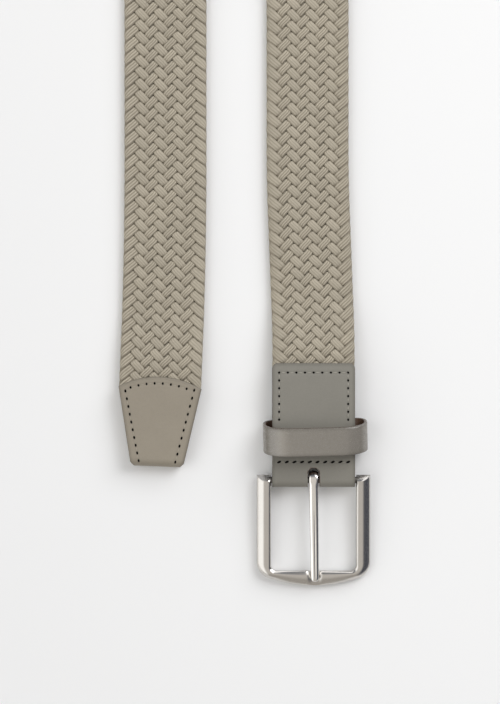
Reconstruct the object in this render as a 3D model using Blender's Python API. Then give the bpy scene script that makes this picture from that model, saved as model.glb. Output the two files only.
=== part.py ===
# A braided stretch belt with leather ends and a heel-bar buckle, lying open on a flat surface.
# Metres, +Z up. The two arms lie front side up along Y, and the bend between them stands on edge.

import math
from collections import namedtuple

import bmesh
import bpy
from mathutils import Matrix, Vector

MM = 0.001

# Clearance between pieces that touch on the real belt
GAP = 0.3 * MM

# Braided strap
STRAP_WIDTH = 35.0 * MM
STRAP_THICKNESS = 3.4 * MM
STRAP_EDGE_RADIUS = 1.4 * MM
STRAP_PRESSED = 2.8 * MM
PRESS_RUN = 5.0 * MM
RISE_RUN = 26.0 * MM

# Route of the strap's middle line, from the heel bar round the bend to the tip
BUCKLE_ARM = 204.7 * MM
TIP_ARM = 199.0 * MM
ARM_SPACING = 60.6 * MM
STAND_RUN = 130.0 * MM
FLARE_RUN = 54.0 * MM
FLARE_TURN = 15.0
BUCKLE_ARM_LEAN = 2.2
TIP_ARM_LEAN = 2.3
BEND_EASE = 0.25
STEP_TURN = 6.0

# Leather tip on the free end
TIP_PLY = 1.4 * MM
TIP_LENGTH = 33.6 * MM
TIP_ARCH = 4.6 * MM
TIP_END_WIDTH = 22.6 * MM
TIP_MOUTH_MARGIN = 0.15 * MM
TIP_END_CORNER = 1.5 * MM
TIP_STRAP_INSET = 0.8 * MM

# Leather tab folded round the heel bar
TAB_PLY = 1.3 * MM
TAB_LENGTH = 49.2 * MM
TAB_MARGIN = 0.1 * MM
TAB_CORNER = 2.3 * MM
TAB_STRAP_START = 7.6 * MM
FOLD_BLEND = 7.0 * MM
SLOT_WIDTH = 5.1 * MM
SLOT_REACH = 5.2 * MM

# Leather keeper loop round the tab
KEEPER_PLY = 1.3 * MM
KEEPER_STRIP = 11.8 * MM
KEEPER_HEIGHT = 14.4 * MM
KEEPER_SIDE_ROOM = 3.3 * MM
KEEPER_TOP_CORNER = 7.0 * MM
KEEPER_BASE_CORNER = 4.6 * MM
KEEPER_LEAN = 4.0 * MM
KEEPER_OFFSET = 0.8 * MM
KEEPER_PLACE = 15.8 * MM
KEEPER_YAW = 1.5

# Metal frame with its heel bar
FRAME_THICKNESS = 4.0 * MM
FRAME_SIDE_GAP = 0.55 * MM
FRAME_ARM_WIDTH = 6.05 * MM
FRAME_WINDOW = 38.9 * MM
FRAME_FRONT_WIDTH = 6.3 * MM
FRAME_ARM_TOP = 2.1 * MM
FRAME_INNER_CORNER = 2.5 * MM
FRAME_OUTER_CORNER = 7.5 * MM
FRAME_BOW_RADIUS = 59.0 * MM
FRAME_HIP = 2.8 * MM
FRAME_END_HEIGHT = 0.5
BAR_RADIUS = 1.4 * MM
BAR_SEAT = 2.4 * MM
NOTCH_DEPTH = 0.8 * MM

# Metal prong on the heel bar
PRONG_WIDTH = 3.9 * MM
PRONG_HEIGHT = 2.4 * MM
PRONG_OVERHANG = 4.3 * MM
PRONG_EYE_WALL = 1.2 * MM
PRONG_EYE_BACK = 4.0 * MM
PRONG_YAW = 0.8

# One stretch of the route: its length, how far it turns to the left, and how far it stands up on edge
Stretch = namedtuple("Stretch", "length turn stand")

# Height and place of a point of the frame's section: 0 at the window's edge and at the foot
FrameRow = namedtuple("FrameRow", "across height")
FRAME_SECTION = (
    FrameRow(0.00, 0.00),
    FrameRow(0.00, 0.60),
    FrameRow(0.13, 0.94),
    FrameRow(0.26, 1.00),
    FrameRow(0.55, 0.94),
    FrameRow(0.80, 0.74),
    FrameRow(0.95, 0.48),
    FrameRow(1.00, 0.28),
    FrameRow(1.00, 0.10),
    FrameRow(0.94, 0.00),
)

# Sections along the prong's shaft, as shares of its reach, width and height
ProngRow = namedtuple("ProngRow", "along width height")
PRONG_ROWS = (
    ProngRow(0.20, 1.00, 1.00),
    ProngRow(0.86, 0.92, 1.00),
    ProngRow(0.94, 0.90, 0.96),
    ProngRow(0.975, 0.80, 0.80),
    ProngRow(0.995, 0.55, 0.52),
    ProngRow(1.00, 0.25, 0.25),
)

# Sizes worked out from those above
TAB_WIDTH = STRAP_WIDTH + 2 * TAB_MARGIN
LEATHER_ROOM = STRAP_PRESSED / 2 + GAP
FOLD_ROOM = BAR_RADIUS + GAP
FOLD_RADIUS = FOLD_ROOM + TAB_PLY
BAR_HEIGHT = max(KEEPER_PLY + GAP + LEATHER_ROOM + TAB_PLY, FOLD_RADIUS)
TIP_HEIGHT = LEATHER_ROOM + TIP_PLY
KEEPER_WIDTH = TAB_WIDTH + 2 * (KEEPER_SIDE_ROOM + KEEPER_PLY)
FRAME_INNER = TAB_WIDTH / 2 + FRAME_SIDE_GAP
FRAME_OUTER = FRAME_INNER + FRAME_ARM_WIDTH
FRAME_REACH = FRAME_WINDOW + FRAME_FRONT_WIDTH
FRAME_FOOT = FRAME_WINDOW + FRAME_SECTION[-1].across * FRAME_FRONT_WIDTH
PRONG_REACH = FRAME_WINDOW + PRONG_OVERHANG
EYE_RADIUS = FOLD_ROOM + PRONG_EYE_WALL


def smooth(t):
    t = min(max(t, 0.0), 1.0)
    return t * t * (3 - 2 * t)


def eased(t, ease):
    """Share of a bend's turn reached at t, with its curvature eased in and out."""
    if t < ease:
        return t * t / (2 * ease * (1 - ease))
    if t > 1 - ease:
        return 1 - eased(1 - t, ease)
    return (t - ease / 2) / (1 - ease)


def bend_length():
    """Length of the bend that brings the flared arms back to their spacing."""
    steps = 400
    shares = [(i + 0.5) / steps for i in range(steps)]
    flare = math.radians(FLARE_TURN)
    turn = math.pi + 2 * flare
    spread = FLARE_RUN * sum(math.sin(flare * eased(t, BEND_EASE)) for t in shares) / steps
    chord = sum(math.cos(turn * (eased(t, BEND_EASE) - 0.5)) for t in shares) / steps
    return (ARM_SPACING + 2 * spread) / chord


ROUTE = (
    Stretch(0.25 * BUCKLE_ARM, 0, 0),
    Stretch(0.12 * BUCKLE_ARM, BUCKLE_ARM_LEAN, 0),
    Stretch(0.17 * BUCKLE_ARM, 0, 0),
    Stretch(0.17 * BUCKLE_ARM, -BUCKLE_ARM_LEAN, 0),
    Stretch(0.29 * BUCKLE_ARM, 0, 0),
    Stretch(STAND_RUN, 0, 90),
    Stretch(FLARE_RUN, -FLARE_TURN, 0),
    Stretch(bend_length(), 180 + 2 * FLARE_TURN, 0),
    Stretch(FLARE_RUN, -FLARE_TURN, 0),
    Stretch(STAND_RUN, 0, -90),
    Stretch(0.30 * TIP_ARM, 0, 0),
    Stretch(0.50 * TIP_ARM, -TIP_ARM_LEAN, 0),
    Stretch(0.20 * TIP_ARM, 0, 0),
)
ROUTE_LENGTH = sum(stretch.length for stretch in ROUTE)


def route_point(along):
    """Place on the floor plan, heading and standing angle at a distance from the heel bar."""
    point = Vector((0.0, 0.0, 0.0))
    heading = math.radians(90)
    stand = 0.0
    left = along
    for stretch in ROUTE:
        length = min(left, stretch.length)
        turn = math.radians(stretch.turn)
        steps = max(1, math.ceil(abs(stretch.turn)))
        if length > 0:
            for i in range(steps):
                share = (i + 0.5) * length / steps / stretch.length
                angle = heading + turn * eased(share, BEND_EASE)
                point += Vector((math.cos(angle), math.sin(angle), 0)) * length / steps
        share = max(length, 0) / stretch.length
        heading += turn * eased(share, BEND_EASE)
        stand += math.radians(stretch.stand) * smooth(share)
        left -= stretch.length
        if left <= 0:
            break
    return point, heading, stand


def strap_height(along, stand):
    """Height of the strap's middle line: it lies on the floor and rises into its leather ends."""
    lying = STRAP_THICKNESS / 2 * math.cos(stand) + STRAP_WIDTH / 2 * math.sin(stand)
    to_tab = smooth((along - TAB_LENGTH - PRESS_RUN) / RISE_RUN)
    to_tip = smooth((ROUTE_LENGTH - TIP_LENGTH - TIP_ARCH - PRESS_RUN - along) / RISE_RUN)
    rise = (BAR_HEIGHT - STRAP_THICKNESS / 2) * (1 - to_tab)
    return lying + rise + (TIP_HEIGHT - STRAP_THICKNESS / 2) * (1 - to_tip)


def strap_place(along):
    """Matrix of the strap's own axes: across, along and out of the front face."""
    point, heading, stand = route_point(along)
    point.z = strap_height(along, stand)
    ahead = Vector((math.cos(heading), math.sin(heading), 0))
    side = Vector((math.sin(heading), -math.cos(heading), 0))
    up = Vector((0, 0, 1))
    across = side * math.cos(stand) - up * math.sin(stand)
    front = up * math.cos(stand) + side * math.sin(stand)
    columns = (*across, 0), (*ahead, 0), (*front, 0), (*point, 1)
    return Matrix(columns).transposed()


def strap_half_width(along):
    """Half the strap's width, which is trimmed to the tip's taper at the free end."""
    to_end = ROUTE_LENGTH - along
    taper = TIP_END_WIDTH / 2 + (STRAP_WIDTH - TIP_END_WIDTH) / 2 * to_end / TIP_LENGTH
    if to_end < TIP_LENGTH:
        return taper - TIP_STRAP_INSET * smooth(4 * (1 - to_end / TIP_LENGTH))
    return STRAP_WIDTH / 2


def strap_half_thickness(along):
    """Half the strap's thickness, which is pressed thinner between the leather plies."""
    to_tab = (along - TAB_LENGTH - GAP) / PRESS_RUN
    to_tip = (ROUTE_LENGTH - TIP_LENGTH - TIP_ARCH - GAP - along) / PRESS_RUN
    free = smooth(min(to_tab, to_tip))
    return (STRAP_PRESSED + (STRAP_THICKNESS - STRAP_PRESSED) * free) / 2


def strap_stations():
    """Distances along the route where the strap has a section."""
    ends = TAB_STRAP_START, ROUTE_LENGTH - TIP_PLY - LEATHER_ROOM - GAP
    stations = list(ends)
    reached = 0.0
    for stretch in ROUTE:
        steps = max(1, math.ceil(max(abs(stretch.turn), abs(stretch.stand)) / STEP_TURN))
        stations += [reached + stretch.length * i / steps for i in range(steps)]
        reached += stretch.length
    tab_mouth = TAB_LENGTH + GAP
    tip_mouth = ROUTE_LENGTH - TIP_LENGTH - TIP_ARCH - GAP
    for share in (0, 0.33, 0.67, 1):
        stations.append(tab_mouth + share * PRESS_RUN)
        stations.append(tip_mouth - share * PRESS_RUN)
        stations.append(ROUTE_LENGTH - TIP_LENGTH * (1 - share / 4))
    for share in (0.2, 0.4, 0.6, 0.8, 1):
        stations.append(tab_mouth + PRESS_RUN + share * RISE_RUN)
        stations.append(tip_mouth - PRESS_RUN - share * RISE_RUN)
    kept = []
    for along in sorted(stations):
        if ends[0] <= along <= ends[1] and (not kept or along - kept[-1] > 0.5 * MM):
            kept.append(along)
    return kept


def band_section(half_width, half_thickness, radius):
    """Closed outline of a flat band with rounded edges."""
    radius = min(radius, half_thickness)
    points = []
    for quarter in range(4):
        side = 1 if quarter in (0, 3) else -1
        face = 1 if quarter < 2 else -1
        for step in range(3):
            angle = math.radians(90 * quarter + 45 * step)
            x = side * (half_width - radius) + radius * math.cos(angle)
            z = face * (half_thickness - radius) + radius * math.sin(angle)
            points.append(Vector((x, 0, z)))
    return points


def loft(rings):
    """Closed body through rings of as many points each, with flat ends."""
    bm = bmesh.new()
    rows = [[bm.verts.new(point) for point in ring] for ring in rings]
    count = len(rows[0])
    for row, following in zip(rows, rows[1:]):
        for i in range(count):
            j = (i + 1) % count
            bm.faces.new((row[i], row[j], following[j], following[i]))
    bm.faces.new(rows[0])
    bm.faces.new(reversed(rows[-1]))
    bmesh.ops.recalc_face_normals(bm, faces=bm.faces)
    return bm


def prism(outline, axis, low, high):
    """Outline of two coordinates, extruded along the third one."""
    rings = []
    for level in (low, high):
        ring = []
        for first, second in outline:
            coordinates = [first, second]
            coordinates.insert("XYZ".index(axis), level)
            ring.append(Vector(coordinates))
        rings.append(ring)
    return loft(rings)


def disc(centre, radius, steps):
    """Outline of a circle."""
    turns = (math.tau * i / steps for i in range(steps))
    return [(centre[0] + radius * math.cos(a), centre[1] + radius * math.sin(a)) for a in turns]


def arc(centre, radius, start, end, steps):
    """Points of an arc between two angles in degrees."""
    points = []
    for i in range(steps + 1):
        angle = math.radians(start + (end - start) * i / steps)
        points.append((centre[0] + radius * math.cos(angle), centre[1] + radius * math.sin(angle)))
    return points


def material(name, colour, roughness, metallic=0.0):
    made = bpy.data.materials.new(name)
    made.use_nodes = True
    shader = made.node_tree.nodes["Principled BSDF"]
    shader.inputs["Base Color"].default_value = (*colour, 1)
    shader.inputs["Roughness"].default_value = roughness
    shader.inputs["Metallic"].default_value = metallic
    return made


def add(name, bm, look, parent, smooth_angle=35):
    mesh = bpy.data.meshes.new(name)
    bm.to_mesh(mesh)
    bm.free()
    mesh.materials.append(look)
    mesh.shade_smooth()
    mesh.set_sharp_from_angle(angle=math.radians(smooth_angle))
    made = bpy.data.objects.new(name, mesh)
    bpy.context.collection.objects.link(made)
    made.parent = parent
    return made


def combine(target, name, bm, operation):
    """Boolean of a piece with a hidden shape that has the same parent and place."""
    mesh = bpy.data.meshes.new(name)
    bm.to_mesh(mesh)
    bm.free()
    shape = bpy.data.objects.new(name, mesh)
    bpy.context.collection.objects.link(shape)
    shape.parent = target
    shape.hide_render = True
    shape.display_type = "WIRE"
    change = target.modifiers.new(name, "BOOLEAN")
    change.operation = operation
    change.solver = "EXACT"
    change.object = shape


def empty(name, parent):
    made = bpy.data.objects.new(name, None)
    bpy.context.collection.objects.link(made)
    made.parent = parent
    return made


def fold_outline(length, ply, flat_room, fold_room, blend):
    """Side view of a strip folded at Y = 0 round a space, its two plies running to a length."""
    def half_room(y):
        return fold_room + (flat_room - fold_room) * smooth(y / blend)

    levels = [length] + [blend * share for share in (1, 0.75, 0.5, 0.25)]
    outer = [(y, half_room(y) + ply) for y in levels]
    inner = [(y, half_room(y)) for y in levels]
    fold = arc((0, 0), 1, 90, 270, 12)
    outer += [(x * (fold_room + ply), z * (fold_room + ply)) for x, z in fold]
    inner += [(x * fold_room, z * fold_room) for x, z in fold]
    outer += [(y, -half_room(y) - ply) for y in reversed(levels)]
    inner += [(y, -half_room(y)) for y in reversed(levels)]
    return outer + list(reversed(inner))


def make_strap(parent, look):
    rings = []
    for along in strap_stations():
        place = strap_place(along)
        half_thickness = strap_half_thickness(along)
        section = band_section(strap_half_width(along), half_thickness, STRAP_EDGE_RADIUS)
        rings.append([place @ point for point in section])
    return add("braided_strap", loft(rings), look, parent)


def make_tip(parent, look):
    """Tapered strip folded at the strap's free end, with an arched mouth."""
    fold_radius = LEATHER_ROOM + TIP_PLY
    length = TIP_LENGTH + TIP_ARCH - fold_radius
    outline = fold_outline(length, TIP_PLY, LEATHER_ROOM, LEATHER_ROOM, 0.5 * length)
    bm = prism(outline, "X", -STRAP_WIDTH, STRAP_WIDTH)
    tip = add("leather_tip", bm, look, parent)
    mouth = STRAP_WIDTH / 2 + TIP_MOUTH_MARGIN
    end = TIP_END_WIDTH / 2
    arch_radius = (mouth ** 2 + TIP_ARCH ** 2) / (2 * TIP_ARCH)
    arch_angle = math.degrees(math.asin(mouth / arch_radius))
    arch_centre = TIP_LENGTH + TIP_ARCH - arch_radius
    plan = [(-end + TIP_END_CORNER, 0), (end - TIP_END_CORNER, 0), (end, TIP_END_CORNER)]
    plan += arc((0, arch_centre), arch_radius, 90 - arch_angle, 90 + arch_angle, 14)
    plan.append((-end, TIP_END_CORNER))
    plan = [(x, y - fold_radius) for x, y in plan]
    combine(tip, "tip_plan", prism(plan, "Z", -2 * fold_radius, 2 * fold_radius), "INTERSECT")
    point, heading, _ = route_point(ROUTE_LENGTH)
    back = Vector((math.cos(heading), math.sin(heading), 0)) * -fold_radius
    tip.location = point + back + Vector((0, 0, TIP_HEIGHT))
    tip.rotation_euler.z = heading - math.radians(270)
    return tip


def make_tab(parent, look):
    """Strip folded round the heel bar, with rounded ends and a slot for the prong."""
    outline = fold_outline(TAB_LENGTH, TAB_PLY, LEATHER_ROOM, FOLD_ROOM, FOLD_BLEND)
    tab = add("buckle_tab", prism(outline, "X", -TAB_WIDTH / 2, TAB_WIDTH / 2), look, parent)
    side = TAB_WIDTH / 2 - TAB_CORNER
    top = TAB_LENGTH - TAB_CORNER
    low = -2 * FOLD_RADIUS
    plan = [(-TAB_WIDTH / 2 - GAP, low), (TAB_WIDTH / 2 + GAP, low), (TAB_WIDTH / 2 + GAP, top)]
    plan += arc((side, top), TAB_CORNER, 0, 90, 6)
    plan += arc((-side, top), TAB_CORNER, 90, 180, 6)
    plan.append((-TAB_WIDTH / 2 - GAP, top))
    combine(tab, "tab_plan", prism(plan, "Z", low, -low), "INTERSECT")
    radius = SLOT_WIDTH / 2
    slot = [(-radius, low), (radius, low)]
    slot += arc((0, SLOT_REACH - radius), radius, 0, 180, 10)
    combine(tab, "tab_slot", prism(slot, "Z", low, -low), "DIFFERENCE")
    return tab


def keeper_outline(inset):
    """Front view of the keeper loop, or of its inner side at an inset of its wall."""
    side = KEEPER_WIDTH / 2
    corners = (
        (side - KEEPER_TOP_CORNER, KEEPER_HEIGHT - KEEPER_TOP_CORNER, KEEPER_TOP_CORNER, 0),
        (KEEPER_TOP_CORNER - side, KEEPER_HEIGHT - KEEPER_TOP_CORNER, KEEPER_TOP_CORNER, 90),
        (KEEPER_BASE_CORNER - side, KEEPER_BASE_CORNER, KEEPER_BASE_CORNER, 180),
        (side - KEEPER_BASE_CORNER, KEEPER_BASE_CORNER, KEEPER_BASE_CORNER, 270),
    )
    points = []
    for x, z, radius, start in corners:
        points += arc((x, z), radius - inset, start, start + 90, 6)
    return points


def make_keeper(parent, look):
    """Closed leather strip round the tab, its upper side leaning towards the buckle."""
    bm = bmesh.new()
    rings = []
    for inset, y in ((0, -0.5), (0, 0.5), (KEEPER_PLY, 0.5), (KEEPER_PLY, -0.5)):
        ring = []
        for x, z in keeper_outline(inset):
            lean = KEEPER_LEAN * (1 - z / KEEPER_HEIGHT)
            ring.append(bm.verts.new((x, y * KEEPER_STRIP + lean, z)))
        rings.append(ring)
    count = len(rings[0])
    for ring, following in zip(rings, rings[1:] + rings[:1]):
        for i in range(count):
            j = (i + 1) % count
            bm.faces.new((ring[i], ring[j], following[j], following[i]))
    bmesh.ops.recalc_face_normals(bm, faces=bm.faces)
    keeper = add("keeper_loop", bm, look, parent)
    keeper.location = (KEEPER_OFFSET, KEEPER_PLACE, 0)
    keeper.rotation_euler.z = math.radians(KEEPER_YAW)
    return keeper


def frame_pairs():
    """Pairs of points on the window's edge and the outer edge, from the right arm to the middle."""
    corner_y = FRAME_OUTER_CORNER - FRAME_BOW_RADIUS
    corner_x = FRAME_OUTER - FRAME_OUTER_CORNER
    bow_y = FRAME_BOW_RADIUS - FRAME_REACH
    slant = math.asin(corner_x / -corner_y)
    corner_y = bow_y - math.sqrt(corner_y ** 2 - corner_x ** 2)
    inner_y = FRAME_INNER_CORNER - FRAME_WINDOW
    inner_x = FRAME_INNER - FRAME_INNER_CORNER
    pairs = [((FRAME_INNER, y), (FRAME_OUTER, y)) for y in (FRAME_ARM_TOP, FRAME_ARM_TOP - FRAME_HIP)]
    outer_turn = math.degrees(slant) - 90
    inner = arc((inner_x, inner_y), FRAME_INNER_CORNER, 0, -90, 7)
    outer = arc((corner_x, corner_y), FRAME_OUTER_CORNER, 0, outer_turn, 7)
    pairs += list(zip(inner, outer))
    bow_steps = 8
    for i in range(1, bow_steps + 1):
        share = 1 - i / bow_steps
        outer_x = outer[-1][0] * share
        outer_y = bow_y - math.sqrt(FRAME_BOW_RADIUS ** 2 - outer_x ** 2)
        pairs.append(((inner_x * share, -FRAME_WINDOW), (outer_x, outer_y)))
    return pairs


def make_frame(parent, look):
    """Open metal frame with a ridge near its window, closed by the heel bar."""
    right = frame_pairs()
    left = [((-a[0], a[1]), (-b[0], b[1])) for a, b in reversed(right[:-1])]
    rings = []
    for inner, outer in right + left:
        at_end = inner[1] == FRAME_ARM_TOP
        ring = []
        for row in FRAME_SECTION:
            x = inner[0] + (outer[0] - inner[0]) * row.across
            y = inner[1] + (outer[1] - inner[1]) * row.across
            height = row.height * (FRAME_END_HEIGHT if at_end else 1)
            ring.append(Vector((x, y, FRAME_THICKNESS * (height - 0.5))))
        rings.append(ring)
    frame = add("buckle_frame", loft(rings), look, parent, 28)
    bar_end = FRAME_INNER + BAR_SEAT
    bar = prism(disc((0, 0), BAR_RADIUS, 20), "X", -bar_end, bar_end)
    combine(frame, "heel_bar", bar, "UNION")
    combine(frame, "prong_notch", loft(notch_rings()), "DIFFERENCE")
    return frame


def shaft_middle(along):
    """Height of the prong's middle line over the heel bar's axis."""
    start = EYE_RADIUS - PRONG_HEIGHT / 2
    end = FRAME_THICKNESS / 2 - NOTCH_DEPTH + GAP + PRONG_HEIGHT / 2
    return start + (end - start) * along


def shaft_ring(along, width, height, spare=0.0):
    """Oval section of the prong's shaft, yawed a little to the right."""
    y = -PRONG_REACH * along
    x_middle = -y * math.tan(math.radians(PRONG_YAW))
    z_middle = shaft_middle(along)
    half_width = PRONG_WIDTH / 2 * width + spare
    half_height = PRONG_HEIGHT / 2 * height + spare
    oval = arc((0, 0), 1, 0, 360, 14)[:-1]
    return [Vector((x_middle + half_width * x, y, z_middle + half_height * z)) for x, z in oval]


def notch_rings():
    """Rings of the notch in the front bar, clear of the prong's tip all round."""
    behind_bar = ProngRow(1 - FRAME_FRONT_WIDTH / PRONG_REACH, PRONG_ROWS[1].width, 1)
    round_end = [row for row in PRONG_ROWS if row.along > behind_bar.along][1:]
    rings = []
    for row in [behind_bar] + round_end:
        end_gap = GAP / PRONG_REACH if row in round_end else 0
        rings.append(shaft_ring(row.along + end_gap, row.width, row.height, GAP))
    return rings


def make_prong(parent, look):
    """Shaft with an eye round the heel bar."""
    shaft_start = (FOLD_ROOM + PRONG_EYE_WALL / 8) / PRONG_REACH
    rings = [shaft_ring(shaft_start, 1, 1)]
    rings += [shaft_ring(row.along, row.width, row.height) for row in PRONG_ROWS]
    prong = add("buckle_prong", loft(rings), look, parent)
    eye = []
    for y, z in arc((0, 0), 1, -90, 270, 28)[:-1]:
        reach = PRONG_EYE_BACK if y > 0 else EYE_RADIUS
        eye.append((y * reach, z * EYE_RADIUS))
    combine(prong, "prong_eye", prism(eye, "X", -PRONG_WIDTH / 2, PRONG_WIDTH / 2), "UNION")
    bore = prism(disc((0, 0), FOLD_ROOM, 20), "X", -PRONG_WIDTH, PRONG_WIDTH)
    combine(prong, "prong_bore", bore, "DIFFERENCE")
    return prong


def centre_on_floor(root, pieces):
    """Moves the whole belt so that its box stands over the origin."""
    bpy.context.view_layer.update()
    graph = bpy.context.evaluated_depsgraph_get()
    corners = []
    for piece in pieces:
        shown = piece.evaluated_get(graph)
        corners += [shown.matrix_world @ vertex.co for vertex in shown.data.vertices]
    low = [min(corner[i] for corner in corners) for i in range(3)]
    high = [max(corner[i] for corner in corners) for i in range(3)]
    root.location = (-(low[0] + high[0]) / 2, -(low[1] + high[1]) / 2, -low[2])
    bpy.context.view_layer.update()


def main():
    for old in list(bpy.data.objects):
        bpy.data.objects.remove(old, do_unlink=True)
    braid = material("taupe_braid", (0.34, 0.30, 0.24), 0.85)
    leather = material("taupe_leather", (0.29, 0.26, 0.22), 0.55)
    nickel = material("satin_nickel", (0.66, 0.64, 0.60), 0.28, 1.0)

    belt = empty("belt", None)
    bar_axis = empty("bar_axis", belt)
    bar_axis.location.z = BAR_HEIGHT
    swing = math.hypot(FRAME_FOOT, FRAME_THICKNESS / 2)
    slope = math.asin(BAR_HEIGHT / swing) - math.atan2(FRAME_THICKNESS / 2, FRAME_FOOT)
    bar_axis.rotation_euler.x = slope

    tab = make_tab(belt, leather)
    tab.location.z = BAR_HEIGHT
    pieces = [
        make_strap(belt, braid),
        make_tip(belt, leather),
        tab,
        make_keeper(belt, leather),
        make_frame(bar_axis, nickel),
        make_prong(bar_axis, nickel),
    ]
    centre_on_floor(belt, pieces)


main()
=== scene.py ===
# Braided stretch belt with leather ends and a heel-bar buckle, dressed over its solids

import math

import bmesh
import bpy
import numpy as np
from mathutils import Matrix, Vector


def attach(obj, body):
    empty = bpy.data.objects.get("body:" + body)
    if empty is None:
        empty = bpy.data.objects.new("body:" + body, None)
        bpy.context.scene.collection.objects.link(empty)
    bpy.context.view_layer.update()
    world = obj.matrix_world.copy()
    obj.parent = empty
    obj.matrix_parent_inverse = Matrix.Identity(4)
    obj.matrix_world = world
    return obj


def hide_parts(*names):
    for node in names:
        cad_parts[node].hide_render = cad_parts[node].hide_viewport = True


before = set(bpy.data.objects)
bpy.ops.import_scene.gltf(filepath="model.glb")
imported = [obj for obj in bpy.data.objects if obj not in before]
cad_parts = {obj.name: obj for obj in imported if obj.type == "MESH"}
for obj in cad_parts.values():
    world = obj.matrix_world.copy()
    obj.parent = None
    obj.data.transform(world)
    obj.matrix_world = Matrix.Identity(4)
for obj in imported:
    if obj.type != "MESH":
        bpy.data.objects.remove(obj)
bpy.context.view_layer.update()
mm = 0.001


# node trees: a Term is a socket that can be reckoned with like a number

class Term:
    def __init__(self, tree, socket):
        self.tree, self.socket = tree, socket

    def calc(self, operation, *others):
        return calc(self.tree, operation, self, *others)

    def __add__(self, other):
        return self.calc("ADD", other)

    def __mul__(self, other):
        return self.calc("MULTIPLY", other)

    def __sub__(self, other):
        return self.calc("SUBTRACT", other)

    def __truediv__(self, other):
        return self.calc("DIVIDE", other)

    def __rsub__(self, other):
        return calc(self.tree, "SUBTRACT", other, self)

    def __rtruediv__(self, other):
        return calc(self.tree, "DIVIDE", other, self)

    def __abs__(self):
        return self.calc("ABSOLUTE")


def plug(socket, value):
    # a term is linked, anything else is set as the value
    if isinstance(value, Term):
        value.tree.links.new(value.socket, socket)
    elif value is not None:
        socket.default_value = value


def newNode(tree, kind, values=None, settings=None):
    node = tree.nodes.new(kind)
    for name, value in (settings or {}).items():
        setattr(node, name, value)
    for name, value in (values or {}).items():
        plug(node.inputs[name], value)
    return node


def nodeTerm(tree, kind, values=None, settings=None, output=0):
    return Term(tree, newNode(tree, kind, values, settings).outputs[output])


def geo(tree, kind, values=None, settings=None, output=0):
    return nodeTerm(tree, "GeometryNode" + kind, values, settings, output)


def live(sockets, name):
    # some nodes carry several sockets of one name, and show one of them
    return next(socket for socket in sockets if socket.name == name and socket.enabled)


def calc(tree, operation, *terms):
    node = newNode(tree, "ShaderNodeMath", settings={"operation": operation})
    for socket, term in zip(node.inputs, terms):
        plug(socket, term)
    return Term(tree, node.outputs[0])


def calcVector(operation, first, second=None, scale=None):
    node = newNode(first.tree, "ShaderNodeVectorMath", settings={"operation": operation})
    plug(node.inputs[0], first)
    plug(node.inputs[1], second)
    if scale is not None:
        plug(node.inputs["Scale"], scale)
    return Term(first.tree, node.outputs["Value" if operation == "DOT_PRODUCT" else "Vector"])


def scaled(vector, factor):
    return calcVector("SCALE", vector, scale=factor)


def joinXYZ(tree, x=0.0, y=0.0, z=0.0):
    return nodeTerm(tree, "ShaderNodeCombineXYZ", {"X": x, "Y": y, "Z": z})


def splitXYZ(vector):
    node = newNode(vector.tree, "ShaderNodeSeparateXYZ", {"Vector": vector})
    return {socket.name: Term(vector.tree, socket) for socket in node.outputs}


def remap(value, fromMin, fromMax, toMin=0.0, toMax=1.0, style="LINEAR"):
    ends = {"Value": value, "From Min": fromMin, "From Max": fromMax, "To Min": toMin, "To Max": toMax}
    return nodeTerm(value.tree, "ShaderNodeMapRange", ends, {"interpolation_type": style}, "Result")


def easeMap(value, fromMin, fromMax, toMin=0.0, toMax=1.0):
    return remap(value, fromMin, fromMax, toMin, toMax, "SMOOTHSTEP")


def mixColour(tree, blend, *values):
    node = newNode(tree, "ShaderNodeMix", settings={"data_type": "RGBA", "blend_type": blend})
    for place, value in zip((0, 6, 7), values):      # factor and both colours
        plug(node.inputs[place], value)
    return Term(tree, node.outputs[2])


def blended(factor, first, second):
    return mixColour(factor.tree, "MIX", factor, first, second)


def tinted(colour, tone):
    return mixColour(tone.tree, "MULTIPLY", 1.0, colour, tone)


def newTree(name, kind, inputs, outputs):
    tree = bpy.data.node_groups.new(name, kind)
    for way, rows in (("INPUT", inputs), ("OUTPUT", outputs)):
        for label, socketKind in rows.items():
            tree.interface.new_socket(label, in_out=way, socket_type="NodeSocket" + socketKind)
    given = {socket.name: Term(tree, socket) for socket in tree.nodes.new("NodeGroupInput").outputs}
    return tree, given, tree.nodes.new("NodeGroupOutput").inputs


def position(tree):
    return geo(tree, "InputPosition")


def readAttribute(tree, name, kind="FLOAT"):
    return geo(tree, "InputNamedAttribute", {"Name": name}, {"data_type": kind}, "Attribute")


def readVector(tree, name):
    return readAttribute(tree, name, "FLOAT_VECTOR")


def storeAttribute(geometry, name, value, kind="FLOAT"):
    values = {"Geometry": geometry, "Name": name, "Value": value}
    return geo(geometry.tree, "StoreNamedAttribute", values, {"data_type": kind, "domain": "POINT"})


def setPosition(geometry, place):
    return geo(geometry.tree, "SetPosition", {"Geometry": geometry, "Position": place})


def setMaterial(geometry, material):
    return geo(geometry.tree, "SetMaterial", {"Geometry": geometry, "Material": material})


def runNodes(base, tree, values, name):
    # runs the tree on the base object and takes the result as a plain mesh
    change = base.modifiers.new(name, "NODES")
    change.node_group = tree
    for item in tree.interface.items_tree:
        if item.item_type == "SOCKET" and item.in_out == "INPUT" and item.name in values:
            change[item.identifier] = values[item.name]
    bpy.context.view_layer.update()
    graph = bpy.context.evaluated_depsgraph_get()
    mesh = bpy.data.meshes.new_from_object(base.evaluated_get(graph))
    base.modifiers.remove(change)
    mesh.name = name
    return mesh


# meshes

def showMesh(name, mesh):
    piece = bpy.data.objects.new(name, mesh)
    bpy.context.collection.objects.link(piece)
    return piece


def dropObject(scratch):
    mesh = scratch.data
    bpy.data.objects.remove(scratch)
    bpy.data.meshes.remove(mesh)


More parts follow.
